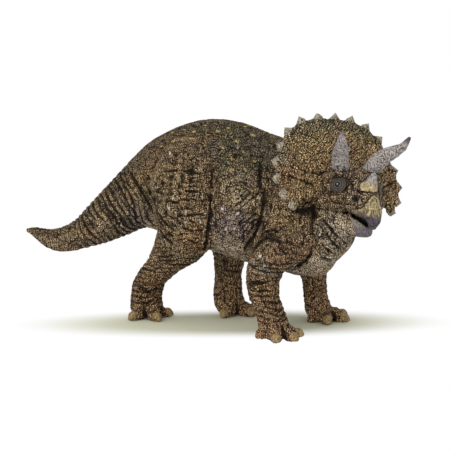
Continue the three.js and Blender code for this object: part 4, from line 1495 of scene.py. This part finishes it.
@dataclass(frozen=True)
class Skin:
    """The figure's cast skin. Its mouldings are glued with keyed pegs, so it closes over their seams.
    Places on the head are in the head's frame, with Y to either side. Sizes in millimetres. The lumps and
    the rings are each a height and a spacing. A wash, a shade or a pale is the largest share of its paint;
    the shades of creases and hollows are painted shade."""

    relief: Relief
    studs: Array
    stud_swell: float = 0.9
    stud_reach: float = 3.2
    voxel: float = 0.5
    swell: float = 0.2
    eye: Triple = (3.2, 5.0, -8.5)
    nostril: Triple = (11.3, 6.0, -13.8)
    nostril_size: Triple = (1.1, 2.5, 1.4)
    nostril_depth: float = 1.4
    nostril_lip: float = 0.4
    horn_swell: float = 0.25
    foot_heights: Pair = (5.0, 26.0)
    melt_rounds: int = 22
    face_melt: float = 0.3
    foot_melt: float = 0.12
    lump: Pair = (0.15, 7.0)
    leg_ring: Pair = (0.42, 2.7)
    tail_ring: Pair = (0.6, 3.3)
    # Crease shade: painted shade in creases, its largest share, and the depths where it sets in and is full
    # on face and body.
    dark_wash_and_shade: float = 0.92
    crease_shade_from: float = 0.09
    face_crease_shade_full: float = 0.5
    body_crease_shade_full: float = 0.38
    belly_pale: float = 0.5
    back_wash: float = 0.45
    ankle_rust: float = 0.4
    ankle_wash: float = 0.06
    # Largest share of the painted shade in the skin's hollows.
    hollow_shade: float = 0.5
    brow_wash: float = 0.3
    socket_wash: float = 0.85

    def sculpted(self, nodes: dict[str, Object]) -> tuple[Shell, Array]:
        """Shapes the skin.

        Args:
            nodes: the solids by name.

        Returns:
            The skin, and each point's solid.
        """
        shell = union_of([nodes[name] for name in SOLIDS], self.swell, self.voxel)
        part = owners(shell.points, {name: nodes[name] for name in SOLIDS})
        LOG.info("the skin has %d faces", len(shell.faces))
        fine = np.isin(part, ("head", "lower_jaw", *BROW_HORNS))
        low = smoothstep(*self.foot_heights, shell.points[:, 2])
        soft = np.where(fine, self.face_melt, self.foot_melt + (1.0 - self.foot_melt) * low)
        about_eye = 1.0 - smoothstep(4.6, 7.5, self.from_eye(shell.points))
        shell.smooth(self.melt_rounds, shell.blurred(np.maximum(soft, about_eye), 6))
        shell.push(np.full(len(shell.points), -self.swell))
        height = Sculptor(mirror_body).fold(shell, BODY_FOLDS + BODY_WRINKLES) * ~fine
        height += Sculptor(mirror_head).fold(shell, HEAD_FOLDS + HEAD_WRINKLES) * fine
        height += self.rings(shell, part) + self.nostrils(shell.points) + self.stud_bases(shell.points, part)
        # Painted shade: the deeper a crease, the darker its paint.
        full = np.where(fine, self.face_crease_shade_full, self.body_crease_shade_full)
        shell.paint[Tone.DARK] = self.dark_wash_and_shade * smoothstep(self.crease_shade_from, full, -height)
        lump, size = self.lump
        height += lump * lattice_noise(shell.points, size, 31) * low * ~fine
        shell.push(height)
        clamp(shell)
        return shell, part

    def from_eye(self, points: Array) -> Array:
        """Measures how far each point on a side of the face lies from the eye there, seen from that side."""
        inside = HEAD.inside(points)
        out = np.linalg.norm((inside - np.array(self.eye))[:, [0, 2]], axis=1)
        return np.where(np.abs(inside[:, 1]) > self.eye[1], out, np.inf)

    def rings(self, shell: Shell, part: Array) -> Array:
        """Gives the height of the rings round legs and tail, and of the gaps between the toes."""
        points, z = shell.points, shell.points[:, 2]
        height = np.zeros(len(points))
        depth, spacing = self.leg_ring
        for name, foot in FEET.items():
            top = 40.0 if name.startswith("hind") else 46.0
            leg = (part == name) * (1.0 - smoothstep(top - 10.0, top, z)) * smoothstep(5.0, 9.0, z)
            height += depth * leg * creases_along(z + 0.12 * points[:, 0], points, spacing, 41)
            height -= (part == name) * foot.gaps(points)
        _, along = route_distance(points, np.array(TAIL_LINE))
        tail = (part == "tail") * smoothstep(0.5, 3.0, along) * (1.0 - smoothstep(40.0, 68.0, along))
        depth, spacing = self.tail_ring
        return height + depth * tail * creases_along(along, points, spacing, 51)

    def stud_bases(self, points: Array, part: Array) -> Array:
        """Gives the height of the frill's rim where it swells under each stud."""
        height = np.zeros(len(points))
        inside = HEAD.inside(points)
        for place in self.studs:
            gap = np.linalg.norm(inside - place, axis=1)
            height = np.maximum(height, self.stud_swell * np.exp(-((gap / self.stud_reach) ** 2)))
        return height * (part == "head")

    def nostrils(self, points: Array) -> Array:
        """Gives the height of the nostrils at each point."""
        inside = HEAD.inside(points)
        inside[:, 1] = np.abs(inside[:, 1])
        out = np.linalg.norm((inside - np.array(self.nostril)) / self.nostril_size, axis=1)
        lip = self.nostril_lip * np.exp(-(((out - 2.0) / 0.6) ** 2))
        return lip - self.nostril_depth * np.exp(-(out**2))

    def labels(self, shell: Shell, part: Array) -> Array:
        """Names each point's piece."""
        named = part.copy()
        for _, pixels, _, side in Sculptor(mirror_head).sides(shell):
            for cut in CUTS:
                wanted = cut.inside(shell.points, pixels) & np.isin(part, cut.solids) & (side > 0.45)
                named[wanted] = cut.name
        return named

    def painted(self, shell: Shell, labels: Array) -> None:
        """Lays the paint on the skin."""
        points, paint = shell.points, shell.paint
        head = np.isin(labels, ("head", "nose_horn", "upper_beak", *BROW_HORNS))
        own = dict(paint)
        Sculptor(mirror_body).lay(shell, BODY_PATCHES)
        body = dict(paint)
        paint.update(own)
        Sculptor(mirror_head).lay(shell, HEAD_PATCHES)
        for tone, values in body.items():
            paint[tone] = np.where(head, paint[tone], values)
        level = shell.normals()[:, 2]
        shell.cover(Tone.PALE, self.belly_pale * smoothstep(-0.35, -0.8, level) * (labels == "trunk"))
        back = smoothstep(-0.1, 0.6, level) * np.isin(labels, ("trunk", "tail"))
        shell.cover(Tone.DARK, self.back_wash * back)
        ankle = np.isin(labels, LEGS) * (1.0 - smoothstep(12.0, 40.0, points[:, 2]))
        shell.cover(Tone.RUST, self.ankle_rust * ankle)
        shell.cover(Tone.DARK, self.ankle_wash * ankle)
        # Painted shade in the hollows: narrow ones from a short blur, broad ones from a long blur, as ambient
        # light would leave them.
        for rounds, low, high in ((8, 0.12, 0.5), (60, 0.1, 0.9)):
            shell.cover(Tone.DARK, self.hollow_shade * smoothstep(low, high, shell.hollows(rounds)))
        paint[Tone.DARK] *= np.where(np.isin(labels, BROW_HORNS), self.brow_wash, 1.0)
        for name in ("nose_horn", "upper_beak", *BROW_HORNS):
            edge = shell.blurred((labels == name).astype(float), 3)
            shell.cover(Tone.DARK, 1.0 - smoothstep(0.08, 0.25, np.abs(edge - 0.25)))
        socket = 1.0 - smoothstep(3.8, 5.8, self.from_eye(points))
        shell.cover(Tone.DARK, self.socket_wash * socket * (labels == "head"))
        high = HEAD.inside(points)[:, 2] + 2.2 * lattice_noise(points, 2.2, 61)
        tips = {
            "nose_horn": smoothstep(-7.0, -3.0, high),
            "upper_beak": smoothstep(-17.5, -22.5, high),
            "lower_beak": smoothstep(-24.5, -27.0, high),
            "brow_horn_right": smoothstep(13.0, 20.0, high),
            "brow_horn_left": smoothstep(11.0, 16.0, high),
        }
        for name, share in tips.items():
            paint[Tone.TIP] = np.where(labels == name, share, paint[Tone.TIP])

    def build(self, nodes: dict[str, Object], finishes: Finishes) -> Shell:
        """Builds and dresses the skin's pieces.

        Args:
            nodes: the solids by name.
            finishes: the finishes of its parts.

        Returns:
            The skin, for what is set on it.
        """
        shell, part = self.sculpted(nodes)
        labels = self.labels(shell, part)
        horny = shell.blurred((~np.isin(labels, HIDE_PARTS)).astype(float), 2)
        shell.push(self.horn_swell * horny * np.isin(part, ("head", "lower_jaw")))
        shell.paint[Tone.HORNY] = horny
        pressed = self.relief.press(shell)
        clamp(pressed)
        self.painted(pressed, labels)
        materials = {
            **dict.fromkeys(HIDE_PARTS, finishes.hide.material()),
            **dict.fromkeys(BROW_HORNS, finishes.brow_horn.material()),
            "nose_horn": finishes.nose_horn.material(),
            "upper_beak": finishes.upper_beak.material(),
            "lower_beak": finishes.lower_beak.material(),
        }
        made = cut_pieces(pressed, labels, materials)
        for name in HIDE_PARTS:
            report(made[name], "skin", "skin_" + name, name)
        for hand in ("right", "left"):
            report(made["brow_horn_" + hand], "horn", "horn_brow_" + hand, "brow_horn_" + hand)
        for name, slot in (("nose_horn", "horn"), ("upper_beak", "beak"), ("lower_beak", "beak")):
            report(made[name], slot, name)
        return pressed


@dataclass(frozen=True)
class Eyes:
    """Glossy eyeballs in ringed lids, let into the skin. Place in the head's frame, in millimetres. Each
    ring is a radius, a height and a share of the lids' paler paint."""

    forward: float = 3.2
    up: float = -8.5
    radius: float = 1.5
    glint: float = 0.19
    reach: float = 4.1
    rings: tuple[Triple, ...] = (
        *((1.1, 0.3, 0.0), (1.6, 0.8, 0.9), (2.05, 0.3, 0.0), (2.4, 0.3, 0.0), (2.75, 0.65, 0.85)),
        *((3.15, 0.1, 0.0), (3.4, 0.1, 0.0), (3.7, 0.25, 0.75), (4.1, -1.1, 0.0)),
    )
    across: int = 40
    sunk: float = 0.25
    proud: float = 0.15

    def seats(self, skin: Shell) -> list[tuple[Array, Array]]:
        """Finds where each lid sits on the skin, and which way it faces."""
        inside, outward = HEAD.inside(skin.points), skin.normals()
        gap = np.linalg.norm(inside[:, [0, 2]] - (self.forward, self.up), axis=1)
        found = []
        for hand in (1.0, -1.0):
            near = (gap < self.reach) & (hand * inside[:, 1] > 5.0)
            way = unit(outward[near].mean(axis=0))
            middle = skin.points[near].mean(axis=0)
            LOG.info("a lid's seat lies at %s in the head's frame", np.round(HEAD.inside(middle[None])[0], 1))
            found.append((middle + way * ((skin.points[near] - middle) @ way).max() * self.sunk, way))
        return found

    def build(self, skin: Shell, lid: Horn, ball: Gloss, glint: Gloss) -> None:
        """Builds lids, eyeballs and the glints painted on them.

        Args:
            skin: the skin that they are let into.
            lid: the lids' finish.
            ball: the eyeballs' finish.
            glint: the glints' finish.
        """
        seats = self.seats(skin)
        turns = np.linspace(0.0, 2.0 * math.pi, self.across, endpoint=False)
        points, faces, pale = [], [], []
        for middle, way in seats:
            first = unit(np.cross(way, (0.0, 0.0, 1.0)))
            second = np.cross(way, first)
            base = len(points)
            for out, high, tone in self.rings:
                ring = out * (np.outer(np.cos(turns), first) + np.outer(np.sin(turns), second))
                points += (middle + high * way + ring).tolist()
                pale += [tone] * self.across
            for row in range(len(self.rings) - 1):
                start = base + row * self.across
                for here in range(self.across):
                    after = (here + 1) % self.across
                    corners = (here, here + self.across, after + self.across, after)
                    faces.append([start + corner for corner in corners])
            last = base + (len(self.rings) - 1) * self.across
            faces.append([base + here for here in range(self.across)])
            faces.append([last + here for here in reversed(range(self.across))])
        paint = {Tone.TIP: np.array(pale)}
        lids = object_from(mesh_from("eyelids", np.array(points), faces, paint))
        lids.data.materials.append(lid.material())
        report(lids, "skin", "eyelids")
        places = np.array([middle + self.proud * way for middle, way in seats])
        sizes = np.full((2, 3), 2 * self.radius)
        growths = Growths("eyes", across=24, down=16)
        report(growths.build(places, np.zeros((2, 3)), sizes, ball.material()), "horn", "eyes")
        # Painted highlights: a white dot on each eyeball, set a little towards the beak from its middle.
        ahead = HEAD.outside(np.array([(0.25, 0.0, 0.0)])) - HEAD.outside(np.zeros((1, 3)))
        places += self.radius * unit(np.array([way for _, way in seats]) + ahead)
        sizes = np.full((2, 3), 2 * self.glint)
        dots = Growths("eye_glints").build(places, np.zeros((2, 3)), sizes, glint.material())
        report(dots, "horn", "eye_glints")


@dataclass(frozen=True)
class Studs:
    """The studs on the frill's rim. Places in the head's frame, on its left side, in millimetres."""

    rim: tuple[Triple, ...] = (
        (-6.3, 29.3, -20.2),
        (-8.6, 33.6, -15.6),
        (-12.2, 35.8, -8.9),
        (-16.0, 35.0, -1.4),
        (-18.9, 31.6, 5.8),
        (-21.1, 27.0, 13.0),
        (-22.5, 19.3, 18.3),
        (-22.5, 9.7, 20.9),
    )
    crown: Triple = (-22.3, 0.0, 21.3)
    hub: Triple = (-8.8, 0.0, -10.5)
    size: Triple = (6.0, 5.4, 3.7)
    out: float = 0.5

    def places(self) -> Array:
        """Gives the middle of each stud's foot in the head's frame."""
        left = np.array(self.rim)
        return np.concatenate([left, left * (1.0, -1.0, 1.0), [self.crown]])

    def build(self, finish: Horn) -> None:
        """Builds all studs."""
        places = self.places()
        outward = places - np.array(self.hub)
        outward = unit(outward * (0.0, 1.0, 1.0))
        forward = np.tile((1.0, 0.0, 0.25), (len(places), 1))
        turns = upright_turns(outward @ HEAD.turn().T, forward @ HEAD.turn().T)
        placed = HEAD.outside(places + self.out * outward)
        sizes = np.tile(self.size, (len(places), 1))
        growths = Growths("frill_studs", across=12, down=9, square=1.9)
        made = growths.build(placed, turns, sizes, finish.material())
        report(made, "horn", "frill_studs")


@dataclass(frozen=True)
class Claws:
    """The hooflike claws, in millimetres and degrees."""

    size: Triple = (6.2, 5.0, 4.8)
    height: float = 2.3
    dip: float = 26.0
    ahead: float = 0.7

    def build(self, finish: Horn) -> None:
        """Builds all claws."""
        rows = np.array([claw for foot in FEET.values() for claw in foot.claws], float)
        yaw = np.radians(rows[:, 2])
        dip = math.radians(self.dip)
        level = math.cos(dip)
        sunk = np.full(len(yaw), -math.sin(dip))
        ahead = np.stack([np.cos(yaw) * level, np.sin(yaw) * level, sunk], axis=1)
        places = np.column_stack([rows[:, :2] + self.ahead * ahead[:, :2], np.full(len(rows), self.height)])
        turns = upright_turns(ahead, np.tile((0.0, 0.0, 1.0), (len(rows), 1)))
        sizes = np.tile(self.size, (len(rows), 1))
        made = Growths("claws", across=12, down=8, square=1.35).build(places, turns, sizes, finish.material())
        report(made, "horn", "claws")


@dataclass(frozen=True)
class Tubercles:
    """Raised oval scales on back and flanks: pixels of the photograph and length in millimetres. The shares
    turn a mark's length to the scale's length and width."""

    marks: tuple[Triple, ...] = (
        *((173, 140, 4.0), (191, 137.5, 4.2), (193, 131, 3.2), (172, 131.5, 3.0), (184, 129, 2.6)),
        *((218, 130, 4.0), (228, 127, 3.2), (252, 134.5, 4.0), (237, 140, 3.4), (245, 125.5, 3.0)),
        *((207, 134, 2.6), (232, 169, 3.4), (245, 168, 3.6), (231, 180, 3.2), (220, 179, 3.0)),
        *((255, 161, 3.0), (238, 187, 3.0), (160, 146, 3.0), (204, 146, 2.8), (222, 147, 2.8)),
        *((243, 151, 2.6), (156, 136, 2.6), (205, 124.5, 2.6), (233, 158, 2.4)),
    )
    shares: Pair = (0.72, 0.34)
    height: float = 0.9
    reach: float = 1.5

    def build(self, shell: Shell, finish: Horn) -> None:
        """Builds the tubercles.

        Args:
            shell: the body's skin.
            finish: their finish.
        """
        back = VIEW.axes()[2]
        normals = shell.normals()
        places, outward, lengths = [], [], []
        for points, pixels, facing, side in Sculptor(mirror_body).sides(shell):
            depth = np.where((facing > 0.2) & (side > 0.0), points @ back, -np.inf)
            for across, down, length in self.marks:
                gap = np.linalg.norm(pixels - (across, down), axis=1)
                best = int(np.argmax(np.where(gap < self.reach, depth, -np.inf)))
                if gap[best] < self.reach:
                    places.append(shell.points[best])
                    outward.append(normals[best])
                    lengths.append(length)
        outward = np.array(outward)
        along = np.cross(np.array((0.0, 1.0, 0.35)), outward)
        turns = upright_turns(along, outward)
        along_share, across_share = self.shares
        sizes = np.array([(along_share * size, across_share * size, self.height) for size in lengths])
        made = Growths("tubercles").build(np.array(places), turns, sizes, finish.material())
        report(made, "skin", "tubercles")


@dataclass(frozen=True)
class Studio:
    """Floor, backdrop and soft lights. The floor is grey paper in an oval round the figure, a painted shadow
    that the real shadow also falls on, melting to white emission away from it; the backdrop is white.
    Metres; angles in degrees. A lamp is a name, the way to it, how wide it looks and its strength."""

    floor: float = 8.0
    sunk: float = 0.05 * MM
    # The painted shadow: the paper's grey, the pixel of the oval's middle, its half-sizes, the share of them
    # that is fully grey, and its turn.
    colour: str = "#c2c2ac"
    fill: float = 0.88
    shadow: Pair = (235.0, 322.8)
    shade: Pair = (0.117, 0.034)
    shade_core: float = 0.43
    shade_turn: float = 2.0
    lamps: tuple[tuple[str, Triple, float, float], ...] = (
        ("softbox_top", (-0.1, -0.35, 1.0), 70.0, 0.8),
        ("softbox_front", (0.1, -1.0, 0.55), 40.0, 1.12),
    )

    def build(self) -> None:
        """Builds floor, backdrop and lights."""
        work = bmesh.new()
        bmesh.ops.create_grid(work, x_segments=1, y_segments=1, size=self.floor / 2)
        data = bpy.data.meshes.new("floor")
        work.to_mesh(data)
        work.free()
        data.materials.append(self.floor_material())
        floor = object_from(data)
        floor.location.z = -self.sunk
        for lamp in self.lamps:
            self.light(*lamp)
        world = bpy.data.worlds.new("backdrop")
        world.use_nodes = True
        tree = world.node_tree
        tree.nodes.clear()
        node = partial(add, tree)
        path = tree.nodes.new("ShaderNodeLightPath").outputs
        rays = {0: path["Is Camera Ray"], 1: path["Is Transmission Ray"]}
        seen = node("ShaderNodeMath", rays, operation="MAXIMUM")
        strength = node("ShaderNodeMapRange", {"Value": seen, "To Min": self.fill, "To Max": 1.0})
        surface = node("ShaderNodeBackground", {"Color": WHITE, "Strength": strength})
        tree.links.new(surface, tree.nodes.new("ShaderNodeOutputWorld").inputs["Surface"])
        bpy.context.scene.world = world

    def floor_material(self) -> Material:
        """Builds the floor: matt grey paper in an oval round the figure, a painted shadow that the real
        shadow falls on too, melting to white emission away from it.
        """
        made, tree = new_material("floor_matt_paper")
        node = partial(add, tree)
        place = node("ShaderNodeTexCoord", output="Object")
        middle = VIEW.on_floor(self.shadow) * MM
        turn = -math.radians(VIEW.azimuth + self.shade_turn)
        turned = {"Vector": place, "Center": middle, "Angle": turn}
        place = node("ShaderNodeVectorRotate", turned, rotation_type="Z_AXIS")
        across = (1.0 / self.shade[0], 1.0 / self.shade[1], 0.0)
        for step, operation in ((middle, "SUBTRACT"), (across, "MULTIPLY")):
            place = node("ShaderNodeVectorMath", {0: place, 1: step}, operation=operation)
        out = node("ShaderNodeVectorMath", {0: place}, "Value", operation="LENGTH")
        span = {"Value": out, "From Min": self.shade_core}
        away = node("ShaderNodeMapRange", span, interpolation_type="SMOOTHSTEP")
        # Painted shadow: the grey paper.
        paper = node("ShaderNodeBsdfDiffuse", {"Color": linear(self.colour)})
        white = node("ShaderNodeEmission", {"Color": WHITE, "Strength": 1.0})
        finish_material(tree, node("ShaderNodeMixShader", {0: away, 1: paper, 2: white}))
        return made

    def light(self, name: str, origin: Triple, spread: float, power: float) -> None:
        """Sets a soft light far off.

        Args:
            name: its name.
            origin: the direction that it comes from.
            spread: how wide it looks from the figure.
            power: its strength.
        """
        data = bpy.data.lights.new(name, "SUN")
        data.angle, data.energy = math.radians(spread), power
        made = bpy.data.objects.new(name, data)
        made.rotation_euler = (-Vector(origin)).to_track_quat("-Z", "Y").to_euler()
        bpy.context.scene.collection.objects.link(made)


def main() -> None:
    """Builds the figure and its studio."""
    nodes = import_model()["nodes"]
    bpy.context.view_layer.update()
    relief = Relief()
    finishes = Finishes(
        Hide("vinyl_hide_dry_brushed", relief),
        brow_horn=Horn("vinyl_brow_horn", "#ada49f", "#4f4748", washing=0.9),
        nose_horn=Horn("vinyl_nose_horn", "#bda77c", "#a39d99"),
        upper_beak=Horn("vinyl_upper_beak", "#b5a273", "#584f57", grain=(2.1, 2.1, 0.26), washing=0.98),
        lower_beak=Horn("vinyl_lower_beak", "#9a917b", "#6a6268"),
    )
    studs = Studs()
    skin = Skin(relief, studs.places()).build(nodes, finishes)
    # White lacquer dots for the eyes' painted highlights.
    glint = Gloss("eye_white_lacquer", "#eef2f4")
    Eyes().build(skin, Horn("vinyl_eyelid", "#1a1514", "#71655a"), Gloss(), glint)
    studs.build(Horn("vinyl_frill_stud", "#a59b86", "#a59b86", washing=0.85))
    Claws().build(Horn("vinyl_claw", "#9e8457", "#9e8457", washing=0.8))
    Tubercles().build(skin, Horn("vinyl_tubercle", "#b09a5c", "#b09a5c"))
    Studio().build()
    VIEW.build()
    bpy.context.scene.view_settings.view_transform = "Standard"


if __name__ == "__main__":
    logging.basicConfig(level=logging.INFO, format="%(message)s")
    main()
